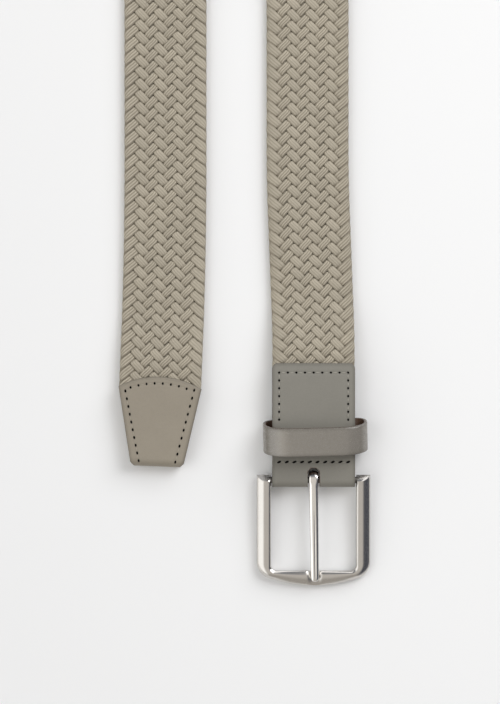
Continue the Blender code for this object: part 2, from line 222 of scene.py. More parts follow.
def closeMesh(name, bm):
    bmesh.ops.recalc_face_normals(bm, faces=bm.faces)
    mesh = bpy.data.meshes.new(name)
    bm.to_mesh(mesh)
    bm.free()
    return mesh


def joinRings(rings, loop=False):
    # bands of faces from ring to ring of points, closed at both ends or into a loop
    bm = bmesh.new()
    rings = [[bm.verts.new(point) for point in ring] for ring in rings]
    count = len(rings[0])
    for ring, following in zip(rings, rings[1:] + (rings[:1] if loop else [])):
        for i in range(count):
            j = (i + 1) % count
            bm.faces.new((ring[i], ring[j], following[j], following[i]))
    if not loop:
        bm.faces.new(rings[0])
        bm.faces.new(rings[-1])
    bmesh.ops.recalc_face_normals(bm, faces=bm.faces)
    return bm


def smoothMesh(mesh, sharpAngle, *materials):
    for material in materials:
        mesh.materials.append(material)
    mesh.shade_smooth()
    mesh.set_sharp_from_angle(angle=math.radians(sharpAngle))


def meshPoints(mesh):
    points = np.zeros(len(mesh.vertices) * 3, np.float32)
    mesh.vertices.foreach_get("co", points)
    return points.reshape(-1, 3).astype(float)


def setFloats(mesh, name, values):
    attribute = mesh.attributes.get(name) or mesh.attributes.new(name, "FLOAT", "POINT")
    attribute.data.foreach_set("value", np.asarray(values, np.float32))


def setVectors(mesh, rows):
    for name, values in rows.items():
        attribute = mesh.attributes.new(name, "FLOAT_VECTOR", "POINT")
        attribute.data.foreach_set("vector", np.asarray(values, np.float32).ravel())


def finishPiece(piece, body, slot, *nodes):
    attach(piece, body)
    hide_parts(*nodes)
    sides = sum(len(face.vertices) - 2 for face in piece.data.polygons)
    print(f"{piece.name}: {sides} triangles, rides on {body}")


def smoothStep(t):
    t = min(max(t, 0.0), 1.0)
    return t * t * (3 - 2 * t)


# sizes that several pieces share, and the belt's route from the heel bar to the folded tip

belt = {
    "width": 35.0 * mm,
    "thickness": 3.4 * mm,
    "pressed": 2.8 * mm,         # thickness between the leather plies
    "pressRun": 5.0 * mm,
    "riseRun": 26.0 * mm,
    "buckleArm": 204.7 * mm,
    "tipArm": 199.0 * mm,
    "armSpacing": 60.6 * mm,
    "standRun": 130.0 * mm,      # the strap turns up on its edge over this length
    "flareRun": 54.0 * mm,
    "flareTurn": 15.0,
    "buckleArmLean": 2.2,
    "tipArmLean": 2.3,
    "bendEase": 0.25,
    "bendSteps": 400,
    "linePoints": 982,
    "gap": 0.3 * mm,
    "tabLength": 49.7 * mm,
    "tipLength": 33.6 * mm,
    "tipArch": 4.6 * mm,
    "tipEndWidth": 22.6 * mm,
    "tipSqueeze": 0.8 * mm,
    "barHeight": 4.6 * mm,
    "tipHeight": 3.1 * mm,
    "barPlace": Vector((29.3784, -212.1324, 4.6)) * mm,
    "frameTilt": 3.32976,
}


def easedTurn(t, ease):
    if t < ease:
        return t * t / (2 * ease * (1 - ease))
    if t > 1 - ease:
        return 1 - easedTurn(1 - t, ease)
    return (t - ease / 2) / (1 - ease)


def bendLength():
    # the bend is as long as it has to be to meet the second arm
    steps, ease = belt["bendSteps"], belt["bendEase"]
    shares = [(i + 0.5) / steps for i in range(steps)]
    flare = math.radians(belt["flareTurn"])
    turn = math.pi + 2 * flare
    spread = belt["flareRun"] * sum(math.sin(flare * easedTurn(t, ease)) for t in shares) / steps
    chord = sum(math.cos(turn * (easedTurn(t, ease) - 0.5)) for t in shares) / steps
    return (belt["armSpacing"] + 2 * spread) / chord


# length of each stretch, its turn to the left, and how far it stands up on edge
route = (
    (0.25 * belt["buckleArm"], 0, 0),
    (0.12 * belt["buckleArm"], belt["buckleArmLean"], 0),
    (0.17 * belt["buckleArm"], 0, 0),
    (0.17 * belt["buckleArm"], -belt["buckleArmLean"], 0),
    (0.29 * belt["buckleArm"], 0, 0),
    (belt["standRun"], 0, 90),
    (belt["flareRun"], -belt["flareTurn"], 0),
    (bendLength(), 180 + 2 * belt["flareTurn"], 0),
    (belt["flareRun"], -belt["flareTurn"], 0),
    (belt["standRun"], 0, -90),
    (0.30 * belt["tipArm"], 0, 0),
    (0.50 * belt["tipArm"], -belt["tipArmLean"], 0),
    (0.20 * belt["tipArm"], 0, 0),
)
routeLength = sum(row[0] for row in route)


def routePoint(along):
    # place seen from the heel bar, heading and stand of the strap at a length along it
    point = Vector((0.0, 0.0, 0.0))
    heading, stand, left = math.radians(90), 0.0, along
    for runLength, turnBy, standBy in route:
        length = min(left, runLength)
        turn = math.radians(turnBy)
        steps = max(1, math.ceil(abs(turnBy)))
        for i in range(steps if length > 0 else 0):
            share = (i + 0.5) * length / steps / runLength
            angle = heading + turn * easedTurn(share, belt["bendEase"])
            point += Vector((math.cos(angle), math.sin(angle), 0)) * length / steps
        share = max(length, 0) / runLength
        heading += turn * easedTurn(share, belt["bendEase"])
        stand += math.radians(standBy) * smoothStep(share)
        left -= runLength
        if left <= 0:
            break
    return point, heading, stand


def atBar(point, height):
    return Vector((point.x + belt["barPlace"].x, point.y + belt["barPlace"].y, height))


def strapHeight(along, stand):
    half = belt["thickness"] / 2
    lying = half * math.cos(stand) + belt["width"] / 2 * math.sin(stand)
    tipMouth = routeLength - belt["tipLength"] - belt["tipArch"]
    toTab = smoothStep((along - belt["tabLength"] - belt["pressRun"]) / belt["riseRun"])
    toTip = smoothStep((tipMouth - belt["pressRun"] - along) / belt["riseRun"])
    return lying + (belt["barHeight"] - half) * (1 - toTab) + (belt["tipHeight"] - half) * (1 - toTip)


def strapSqueeze(along):
    # shares of the free width and thickness that are left inside the leather ends
    toEnd = routeLength - along
    wide = 1.0
    if toEnd < belt["tipLength"]:
        slope = (belt["width"] - belt["tipEndWidth"]) / belt["tipLength"]
        half = (belt["tipEndWidth"] + slope * toEnd) / 2
        squeeze = belt["tipSqueeze"] * smoothStep(4 * (1 - toEnd / belt["tipLength"]))
        wide = (half - squeeze) / (belt["width"] / 2)
    toTab = (along - belt["tabLength"] - belt["gap"]) / belt["pressRun"]
    toTip = (toEnd - belt["tipLength"] - belt["tipArch"] - belt["gap"]) / belt["pressRun"]
    pressed = belt["pressed"] / belt["thickness"]
    return wide, pressed + (1 - pressed) * smoothStep(min(toTab, toTip))


def strapLine():
    # a straight line as long as the belt, whose points know where the strap lies
    count = belt["linePoints"]
    lengths = [routeLength * i / (count - 1) for i in range(count)]
    rows = {"spot": [], "across": [], "front": [], "squeeze": []}
    up = Vector((0, 0, 1))
    for along in lengths:
        point, heading, stand = routePoint(along)
        side = Vector((math.sin(heading), -math.cos(heading), 0))
        wide, thick = strapSqueeze(along)
        rows["spot"].append(atBar(point, strapHeight(along, stand)))
        rows["across"].append(side * math.cos(stand) - up * math.sin(stand))
        rows["front"].append(up * math.cos(stand) + side * math.sin(stand))
        rows["squeeze"].append((wide, 1, thick))
    mesh = bpy.data.meshes.new("strapLine")
    mesh.from_pydata([(0, along, 0) for along in lengths], [(i, i + 1) for i in range(count - 1)], [])
    setVectors(mesh, rows)
    return showMesh("strapLine", mesh)


# finishes

def coords(tree):
    return nodeTerm(tree, "ShaderNodeTexCoord", output="Object")


def noise(where, scale, detail=3.0, rough=0.55):
    values = {"Vector": where, "Scale": scale, "Detail": detail, "Roughness": rough}
    return nodeTerm(where.tree, "ShaderNodeTexNoise", values)


def mark(tree, name):
    # a value that the piece's points carry
    return nodeTerm(tree, "ShaderNodeAttribute", None, {"attribute_name": name}, "Fac")


def newMaterial(name, settings):
    made = bpy.data.materials.new(name)
    made.use_nodes = True
    shader = made.node_tree.nodes["Principled BSDF"]
    for socket, value in settings.items():
        shader.inputs[socket].default_value = value
    return made, made.node_tree, shader.inputs


def bump(inputs, height, distance, strength=1.0):
    values = {"Height": height, "Distance": distance, "Strength": strength}
    plug(inputs["Normal"], nodeTerm(height.tree, "ShaderNodeBump", values))


def placeGroup(tree, group, values):
    node = newNode(tree, "ShaderNodeGroup", None, {"node_tree": group})
    for name, value in values.items():
        plug(node.inputs[name], value)
    return {socket.name: Term(tree, socket) for socket in node.outputs}


def cloud(tree, size, amount):
    return placeGroup(tree, cloudyTone, {"Size": size, "Amount": amount})["Tone"]


def makeCloudGroup():
    # broad uneven tone, used by the yarn, the leather and the metal
    tree, given, result = newTree("cloudyTone", "ShaderNodeTree", {"Size": "Float", "Amount": "Float"},
                                  {"Tone": "Float"})
    broad = noise(coords(tree), 1.0 / given["Size"], 4.0)
    plug(result["Tone"], (broad - 0.5) * given["Amount"] + 1.0)
    return tree


def makeGrainGroup():
    # pores and fine creases of smooth calf leather
    tree, given, result = newTree("leatherGrain", "ShaderNodeTree", {"Pore": "Float", "Crease": "Float"},
                                  {"Height": "Float", "Pores": "Float"})
    where = coords(tree)
    values = {"Vector": where, "Scale": 1.0 / given["Pore"], "Randomness": 0.9}
    cells = nodeTerm(tree, "ShaderNodeTexVoronoi", values, {"feature": "DISTANCE_TO_EDGE"}, "Distance")
    pebbles = easeMap(cells, 0.0, 0.18)
    creases = noise(where, 1.0 / given["Crease"], 5.0, 0.6)
    plug(result["Height"], creases * 1.2 + pebbles * 0.35)
    plug(result["Pores"], pebbles)
    return tree


def makeRidgeGroup():
    # parallel yarns side by side in one strand, each twisted from fine fibres
    tree, given, result = newTree("yarnRidges", "ShaderNodeTree", {
        "Across": "Float", "Along": "Float", "Ridges": "Float", "Twist": "Float",
    }, {"Height": "Float", "Valley": "Float"})
    place = given["Across"] * given["Ridges"]
    wave = (place * math.pi).calc("COSINE")
    swell = (wave * 0.5 + 0.5).calc("POWER", 0.75)
    turns = place * 0.8 + given["Along"] / given["Twist"]
    fibres = (turns * math.tau).calc("SINE")
    plug(result["Height"], fibres * 0.1 + swell)
    # the grooves between the yarns, for the painted shade there
    plug(result["Valley"], 1.0 - swell)
    return tree


cloudyTone = makeCloudGroup()
leatherGrain = makeGrainGroup()
yarnRidges = makeRidgeGroup()

yarn = {
    "colour": (0.445, 0.401, 0.322, 1),
    # painted shade in the grooves between the yarns
    "valleyShade": (0.140, 0.119, 0.085, 1),
    "ridges": 3.5,
    "twist": 0.8 * mm,
    "clear": (0.68, 0.36),       # how deep the yarns' relief and the painted shade in their grooves are, on the tightly pulled way and the plump one
    "wayTone": (1.08, 1.0),
    "strandTone": (0.96, 1.04),
    "border": (0.86, 1.0, 0.0, 0.8),     # shade at a strand's sides, and where it dives under another
    "dive": (0.1, 0.75, 0.7, 0.0),
    "fuzz": 4200.0,
    "fuzzTone": (0.93, 1.07),
    "relief": 0.17 * mm,
}


def makeYarn():
    made, tree, inputs = newMaterial("taupeYarn", {
        "Roughness": 0.88, "Specular IOR Level": 0.25, "Sheen Weight": 0.12, "Sheen Roughness": 0.5})
    ridges = placeGroup(tree, yarnRidges, {
        "Across": mark(tree, "yarnAcross"), "Along": mark(tree, "yarnAlong"),
        "Ridges": yarn["ridges"], "Twist": yarn["twist"]})
    way = mark(tree, "yarnBack")
    fuzz = noise(coords(tree), yarn["fuzz"], 2.0)
    tone = cloud(tree, 0.012, 0.18) * remap(mark(tree, "yarnTone"), 0, 1, *yarn["strandTone"])
    tone = tone * remap(way, 0, 1, *yarn["wayTone"]) * remap(fuzz, 0.2, 0.8, *yarn["fuzzTone"])
    clear = remap(way, 0, 1, *yarn["clear"])
    border = easeMap(abs(mark(tree, "yarnAcross")), *yarn["border"])
    dive = easeMap(mark(tree, "yarnLift"), *yarn["dive"])
    # painted shade: darker in the grooves between yarns, at a strand's sides and where it dives under another
    dark = (ridges["Valley"] * clear).calc("MAXIMUM", border.calc("MAXIMUM", dive))
    plug(inputs["Base Color"], tinted(blended(dark, yarn["colour"], yarn["valleyShade"]), tone))
    bump(inputs, fuzz * 0.35 + ridges["Height"] * clear, yarn["relief"], 0.9)
    return made


leather = {
    "pore": 0.42 * mm,
    "crease": 2.6 * mm,
    "poreTone": (0.955, 1.0),
    # painted shade in the pressed seam grooves
    "seamShade": (0.92, 1.0),
    # painted highlight on the keeper's bend
    "highlightTone": (1.0, 1.34),
    # edge dye darkens the leather close to a cut edge, and painted shade a little further in, where the face
    # rounds down (both in millimetres)
    "edgeDyeAndShade": ((0.05, 0.45, 0.45, 0.0), (0.3, 1.7, 0.45, 0.0)),
    "flesh": (0.085, 0.045, 0.028, 1),
    "rough": (0.56, 0.46),
    "relief": 0.05 * mm,
}


def makeLeather(name, colour, edge, polish=0.0, shine=0.42):
    made, tree, inputs = newMaterial(name, {"Specular IOR Level": shine, "IOR": 1.48})
    grain = placeGroup(tree, leatherGrain, {"Pore": leather["pore"], "Crease": leather["crease"]})
    tone = cloud(tree, 0.016, 0.16) * cloud(tree, 0.0011, 0.10)
    tone = tone * remap(grain["Pores"], 0, 1, *leather["poreTone"])
    # painted shade along the pressed seam grooves
    tone = tone * easeMap(mark(tree, "seam"), 0.0, 0.8, *leather["seamShade"])
    # painted highlight, paler where the keeper's bend would catch the light
    tone = tone * remap(mark(tree, "paintedHighlight"), 0, 1, *leather["highlightTone"])
    rim = mark(tree, "rim")
    # edge dye close to the rim, and painted shade further in
    near, far = [easeMap(rim, *row) for row in leather["edgeDyeAndShade"]]
    face = blended(near + far, tinted((*colour, 1), tone), (*edge, 1))
    plug(inputs["Base Color"], blended(mark(tree, "raw"), face, leather["flesh"]))
    low, high = leather["rough"]
    plug(inputs["Roughness"], remap(grain["Height"], 0.3, 1.2, low - polish, high - polish))
    bump(inputs, grain["Height"], leather["relief"], 0.6 - 1.7 * polish)
    return made


def makePlain(name, colour, rough):
    # thread, and the painted shade inside the stitch holes
    made, tree, inputs = newMaterial(name, {"Roughness": rough, "Specular IOR Level": 0.2})
    plug(inputs["Base Color"], tinted((*colour, 1), cloud(tree, 0.0005, 0.5)))
    bump(inputs, noise(coords(tree), 5000.0), 0.04 * mm)
    return made


def makeNickel(name, colour, roughness):
    # brushed lengthwise, so the noise is drawn out along Y
    made, tree, inputs = newMaterial(name, {"Metallic": 1.0, "Specular IOR Level": 0.5})
    plug(inputs["Base Color"], tinted((*colour, 1), cloud(tree, 0.009, 0.08)))
    brush = noise(calcVector("MULTIPLY", coords(tree), (9000.0, 700.0, 9000.0)), 1.0, 2.0)
    plug(inputs["Roughness"], (brush - 0.5) * 0.08 + roughness)
    bump(inputs, brush, 0.004 * mm, 0.6)
    return made


taupeYarn = makeYarn()
# the second colour is for the edge dye and the painted shade beside the cut edges
tipLeather = makeLeather("tipLeather", (0.308, 0.273, 0.219), (0.170, 0.150, 0.118))
tabLeather = makeLeather("tabLeather", (0.236, 0.226, 0.198), (0.130, 0.122, 0.104))
keeperLeather = makeLeather("keeperLeather", (0.200, 0.184, 0.160), (0.120, 0.108, 0.090), 0.24, 1.0)
tipThread = makePlain("tipThread", (0.36, 0.33, 0.27), 0.7)
tabThread = makePlain("tabThread", (0.36, 0.345, 0.30), 0.7)
holeShade = makePlain("holeShade", (0.004, 0.003, 0.0025), 0.95)
satinNickel = makeNickel("satinNickel", (0.62, 0.597, 0.568), 0.22)
# painted shade: the heel bar is darkened, as it shows only in the shaded gaps between the tab and the arms
paintedShadeBar = makeNickel("paintedShadeBar", (0.16, 0.15, 0.14), 0.5)
prongNickel = makeNickel("prongNickel", (0.84, 0.82, 0.79), 0.17)
print("finishes made")


# braided strap: a flat braid of seventeen strands, woven flat and then laid along the route

braid = {
    "strands": 17,
    "column": 2.0 * mm,           # across, between neighbouring crossings
    "row": 5.0098 * mm,           # along, between neighbouring strands
    "phase": -0.474,              # columns by which the pattern is moved along the strap
    "slip": 0.36 * mm,            # how far the rows are pulled up the arm beside the buckle
    "slipGrows": (0.04, 0.10, 0.5, 1.0),
    "slipFades": (0.125, 0.195),
    "border": 2.5,                # columns at each edge, where strands turn and floats are longer
    "edgeRun": 4.55 * mm,         # width of that border
    "lean": 0.22 * mm,            # how far a float leans away from the strand's mean way
    "strandWidth": 3.52 * mm,
    "strandThickness": 1.72 * mm,
    "edgeWidth": (0.0, 1.3, 0.86, 1.14),     # share of the width at the edge, and less further in
    "innerWidth": (2.2, 3.0, 0.0, -0.14),
    "plump": (0.05, 0.98),        # the way back is this much wider
    "squareness": (0.62, 0.8),    # of a strand's section, in thickness and in width
    "flatten": 2.2,               # how long a strand stays on top before it dives
    "flattenFrom": (0.8, 2.0),
    "pinch": 0.12,                # share of its width that a strand loses where it dives
    "turnReach": 1.8,             # columns over which a strand rolls round the edge
    "twistShift": 0.0137,         # the yarns' twist starts elsewhere in each strand
    "ringStep": 0.5 * mm,
    "sides": 12,
    "seed": 7,
    "cuts": (7.6 * mm, 200 * mm, 395 * mm, 590 * mm, 785 * mm, 978.16 * mm),
}


def weaveTree():
    tree, given, result = newTree("weaveStrands", "GeometryNodeTree", {
        "Strap line": "Geometry", "Start": "Float", "End": "Float", "Rings": "Int", "Column": "Float",
        "Row": "Float", "Phase": "Float", "Strand width": "Float", "Strand thickness": "Float",
        "Strap thickness": "Float", "Flatten": "Float", "Pinch": "Float", "Turn reach": "Float",
        "Edge run": "Float", "Lean": "Float", "Sides": "Int", "Seed": "Int", "Yarn": "Material",
    }, {"Braid": "Geometry"})
    strands, border = float(braid["strands"]), braid["border"]
    line = geo(tree, "CurvePrimitiveLine", {name: joinXYZ(tree, 0, given[name]) for name in ("Start", "End")})
    rings = geo(tree, "ResampleCurve", {"Curve": line, "Count": given["Rings"]})
    copies = newNode(tree, "GeometryNodeDuplicateElements", None, {"domain": "SPLINE"})
    plug(copies.inputs["Geometry"], rings)
    plug(copies.inputs["Amount"], braid["strands"])
    curves, number = Term(tree, copies.outputs["Geometry"]), Term(tree, copies.outputs["Duplicate Index"])
    along = splitXYZ(position(tree))["Y"]

    # columns passed by this strand, counted across and back again
    slip = easeMap(along, *braid["slipGrows"]) * easeMap(along, *braid["slipFades"], braid["slip"], 0.0)
    step = (along - slip) / (given["Row"] * 0.5)
    passed = (number * -2.0 + step + given["Phase"]).calc("WRAP", 2 * strands, 0.0)
    side = strands / 2 - abs(passed - strands)
    toEdge = strands / 2 - abs(side)

    # it turns along the edge in the border, and leans more on its floats than where it dives
    bend = remap(toEdge, 0, border, 0, math.pi / 2).calc("COSINE")
    inside = (toEdge - border).calc("MAXIMUM", 0.0)
    reach = inside * given["Column"] + (1.0 - bend) * given["Edge run"]
    sway = (toEdge.calc("MAXIMUM", border - 1) * math.pi).calc("COSINE")
    reach = sway * given["Lean"] + reach
    halfReach = given["Column"] * (strands / 2 - border) + given["Edge run"]
    across = side.calc("SIGN") * (halfReach - reach)

    # over two and under two, with a longer float at each edge
    way = passed.calc("WRAP", strands, 0.0)
    floats = remap(way, 0, border) + remap(way, border, strands - border, 0, strands / 2 - border)
    floats = floats + remap(way, strands - border, strands)
    wave = (floats * math.pi).calc("SINE")
    flatten = given["Flatten"] * remap(toEdge, *braid["flattenFrom"])
    wave = wave * (flatten + 1.0) / (abs(wave) * flatten + 1.0)
    raised = abs(wave)
    height = wave * ((given["Strap thickness"] - given["Strand thickness"]) * -0.5)

    # a strand rolls half a turn as it goes round an edge
    turn = given["Turn reach"]
    early, middle, late = [easeMap(passed, edge - turn, turn + edge, first, 1 - first)
                           for edge, first in ((0.0, 1), (strands, 0), (2 * strands, 0))]
    back = early + middle - late
    roll = back * math.pi
    facing = joinXYZ(tree, roll.calc("SINE"), 0, roll.calc("COSINE"))

    # each strand's own tone, and its width where it dives and at the edge
    tone = newNode(tree, "FunctionNodeRandomValue", None, {"data_type": "FLOAT"})
    plug(live(tone.inputs, "ID"), number)
    plug(live(tone.inputs, "Seed"), given["Seed"])
    plumper, plain = braid["plump"]
    wide = easeMap(toEdge, *braid["edgeWidth"]) + easeMap(toEdge, *braid["innerWidth"])
    wide = wide * easeMap(raised, 0.0, 0.9, 1.0 - given["Pinch"], 1.0) * (back * plumper + plain)
    for name, value in {
            "yarnTone": Term(tree, live(tone.outputs, "Value")), "yarnBack": back, "yarnLift": raised,
            "yarnAlong": number * braid["twistShift"] + along, "wide": wide}.items():
        curves = storeAttribute(curves, name, value)
    curves = storeAttribute(curves, "facing", facing, "FLOAT_VECTOR")
    curves = setPosition(curves, joinXYZ(tree, across, along, height))
    curves = storeAttribute(curves, "middle", position(tree), "FLOAT_VECTOR")
    curves = geo(tree, "SetCurveNormal", {"Curve": curves, "Normal": readVector(tree, "facing")},
                 {"mode": "FREE"})

    # flattened section of a strand: its first axis points out of the strap
    profile = geo(tree, "CurvePrimitiveCircle", {"Resolution": given["Sides"], "Radius": 1.0})
    spot = splitXYZ(position(tree))
    flat, full = [spot[axis].calc("SIGN") * abs(spot[axis]).calc("POWER", power)
                  for axis, power in zip("XY", braid["squareness"])]
    profile = storeAttribute(profile, "yarnAcross", full)
    profile = setPosition(profile, joinXYZ(tree, flat * (given["Strand thickness"] * 0.5),
                                           readAttribute(tree, "yarnAcross") * (given["Strand width"] * 0.5)))
    woven = geo(tree, "CurveToMesh", {"Curve": curves, "Profile Curve": profile, "Fill Caps": True})

    # the width changes across its facing only
    middleRead, facingRead = readVector(tree, "middle"), readVector(tree, "facing")
    away = calcVector("SUBTRACT", position(tree), middleRead)
    thickPart = scaled(facingRead, calcVector("DOT_PRODUCT", away, facingRead))
    widePart = scaled(calcVector("SUBTRACT", away, thickPart), readAttribute(tree, "wide"))
    woven = setPosition(woven, calcVector("ADD", middleRead, calcVector("ADD", thickPart, widePart)))

    # from the flat weave to the place where the strap lies
    laid = geo(tree, "MeshToCurve", {"Mesh": given["Strap line"]})
    here = splitXYZ(position(tree))

    def sampled(name):
        node = newNode(tree, "GeometryNodeSampleCurve", None, {"data_type": "FLOAT_VECTOR", "mode": "LENGTH"})
        plug(node.inputs["Curves"], laid)
        plug(live(node.inputs, "Value"), readVector(tree, name))
        plug(node.inputs["Length"], here["Y"])
        return Term(tree, live(node.outputs, "Value"))

    squeeze = splitXYZ(sampled("squeeze"))
    sideways = scaled(sampled("across"), here["X"] * squeeze["X"])
    outward = scaled(sampled("front"), here["Z"] * squeeze["Z"])
    woven = setPosition(woven, calcVector("ADD", sampled("spot"), calcVector("ADD", sideways, outward)))
    woven = geo(tree, "SetShadeSmooth", {"Geometry": woven})
    woven = geo(tree, "RealizeInstances", {"Geometry": woven})
    plug(result["Braid"], setMaterial(woven, given["Yarn"]))
    return tree


def makeBraid():
    tree = weaveTree()
    line = strapLine()
    cuts = braid["cuts"]
    for i, (start, end) in enumerate(zip(cuts, cuts[1:])):
        mesh = runNodes(line, tree, {
            "Start": start, "End": end, "Rings": round((end - start) / braid["ringStep"]) + 1,
            "Column": braid["column"], "Row": braid["row"], "Phase": braid["phase"],
            "Strand width": braid["strandWidth"], "Strand thickness": braid["strandThickness"],
            "Strap thickness": belt["thickness"], "Flatten": braid["flatten"], "Pinch": braid["pinch"],
            "Turn reach": braid["turnReach"], "Edge run": braid["edgeRun"], "Lean": braid["lean"],
            "Sides": braid["sides"], "Seed": braid["seed"], "Yarn": taupeYarn,
        }, f"braid_{i + 1}")
        for name in ("facing", "middle", "wide", "spot", "across", "front", "squeeze"):
            if name in mesh.attributes:
                mesh.attributes.remove(mesh.attributes[name])
        for face in mesh.polygons:
            face.use_smooth = len(face.vertices) == 4
        finishPiece(showMesh(f"braid_{i + 1}", mesh), "belt", "braid", "braided_strap")
    dropObject(line)


makeBraid()


# leather ends: a strip folded round the strap, pierced and stitched

leatherWork = {
    "room": 1.7 * mm,             # half the space between the plies
    "rimAngles": (0, 25, 50, 72),
    "foldSteps": 14,
    "grooveDepth": 0.12 * mm,
    "grooveWidth": 0.55 * mm,
    "lip": (1.7, 0.35),           # a low lip beside the groove: its place and its height, in grooves
    "holeDepth": 0.8 * mm,
    "holeTaper": 0.32,
    "holeSides": 10,
    "threadSink": 0.3 * mm,
    "threadSides": 8,
    "threadPoints": 9,
    "sharpAngle": 40,
}


def distanceToPath(points, path):
    # shortest distance in the plan from each point to a path, in metres
    best = np.full(len(points), 1.0)
    for (ax, ay), (bx, by) in zip(path, path[1:]):
        dx, dy = bx - ax, by - ay
        share = ((points[:, 0] - ax) * dx + (points[:, 1] - ay) * dy) / max(dx * dx + dy * dy, 1e-18)
        share = np.clip(share, 0, 1)
        best = np.minimum(best, np.hypot(points[:, 0] - ax - share * dx, points[:, 1] - ay - share * dy))
    return best


def foldedStrip(name, sizes, halfWidth, mouthAt, outline, seams):
    # closed mesh of a strip folded at y = 0, with rounded outer rims and pressed seams
    room, ply, edge = leatherWork["room"], sizes["ply"], sizes["rimRound"]
    rims = [edge * (1 - math.cos(math.radians(a))) for a in leatherWork["rimAngles"]]
    # a column is a share of the half width less an inset, a row the same of the way to the mouth
    columns = [(-1, inset) for inset in rims]
    columns += [(i / sizes["columns"] * 2 - 1, edge) for i in range(sizes["columns"] + 1)]
    columns += [(1, inset) for inset in reversed(rims)]
    rows = [(1, inset) for inset in rims] + [(1 - i / sizes["rows"], edge) for i in range(sizes["rows"])]
    steps = leatherWork["foldSteps"]
    stations = [(1, row) for row in rows]
    stations += [(0, math.radians(90 + 180 * i / steps)) for i in range(steps + 1)]
    stations += [(-1, row) for row in reversed(rows)]
    outer, inner = [], []
    for side, row in stations:
        for share, inset in columns:
            if side:
                mouth = mouthAt(share * (halfWidth(mouthAt(0)) - inset))
                y = row[0] * (mouth - row[1])
                x = share * (halfWidth(y) - inset)
                outer.append((x, y, side * (room + ply)))
                inner.append((x, y, side * room))
            else:
                for reach, points in ((room + ply, outer), (room, inner)):
                    y = math.cos(row) * reach
                    points.append((share * (halfWidth(y) - inset), y, math.sin(row) * reach))

    # the outer side sinks at the rims and under the seams
    flat = np.array(outer)
    toRim = distanceToPath(flat, outline)
    drop = np.where(toRim < edge, edge - np.sqrt(np.maximum(edge ** 2 - (edge - toRim) ** 2, 0)), 0)
    depth, width = leatherWork["grooveDepth"], leatherWork["grooveWidth"]
    lipPlace, lipHeight = leatherWork["lip"]
    for path in seams:
        toSeam = distanceToPath(flat, path)
        drop += depth * np.exp(-(toSeam / width) ** 2)
        drop -= lipHeight * depth * np.exp(-((toSeam - lipPlace * width) / width) ** 2)
    level = np.repeat([side for side, _ in stations], len(columns))
    flat[:, 2] -= level * drop
    turned = level == 0
    reach = np.hypot(flat[turned, 1], flat[turned, 2])
    flat[turned, 1:] *= ((reach - drop[turned]) / reach)[:, None]

    bm = bmesh.new()
    out = [bm.verts.new(point) for point in flat]
    into = [bm.verts.new(point) for point in inner]
    count, last = len(columns), len(stations) - 1
    for r in range(last):
        for c in range(count - 1):
            a, b = r * count + c, (r + 1) * count + c
            bm.faces.new((out[a], out[a + 1], out[b + 1], out[b]))
            bm.faces.new((into[a], into[b], into[b + 1], into[a + 1]))
        for c, order in ((0, 1), (count - 1, -1)):
            a, b = r * count + c, (r + 1) * count + c
            bm.faces.new((out[a], out[b], into[b], into[a])[::order])
    for r, order in ((0, -1), (last, 1)):
        for c in range(count - 1):
            a = r * count + c
            bm.faces.new((out[a], out[a + 1], into[a + 1], into[a])[::order])
    return showMesh(name, closeMesh(name, bm))


def seamObject(name, seams, height):
    # a line through the stitch holes on each face; its points know the way out and each hole's turn and size
    points, edges, rows = [], [], {"out": [], "turn": [], "size": []}
    for side in (1, -1):
        for path, slant, stretch in seams:
            first, last = len(points), len(path) - 1
            for i, (x, y) in enumerate(path):
                (ax, ay), (bx, by) = path[max(i - 1, 0)], path[min(i + 1, last)]
                along = math.atan2(by - ay, bx - ax)
                points.append((x, y, side * height))
                rows["out"].append((0, 0, side))
                rows["turn"].append((0 if side > 0 else math.pi, 0, along + math.radians(slant)))
                rows["size"].append((stretch, 1, 1))
            edges += [(first + i, first + i + 1) for i in range(last)]
    mesh = bpy.data.meshes.new(name)
    mesh.from_pydata(points, edges, [])
    setVectors(mesh, rows)
    return showMesh(name, mesh)


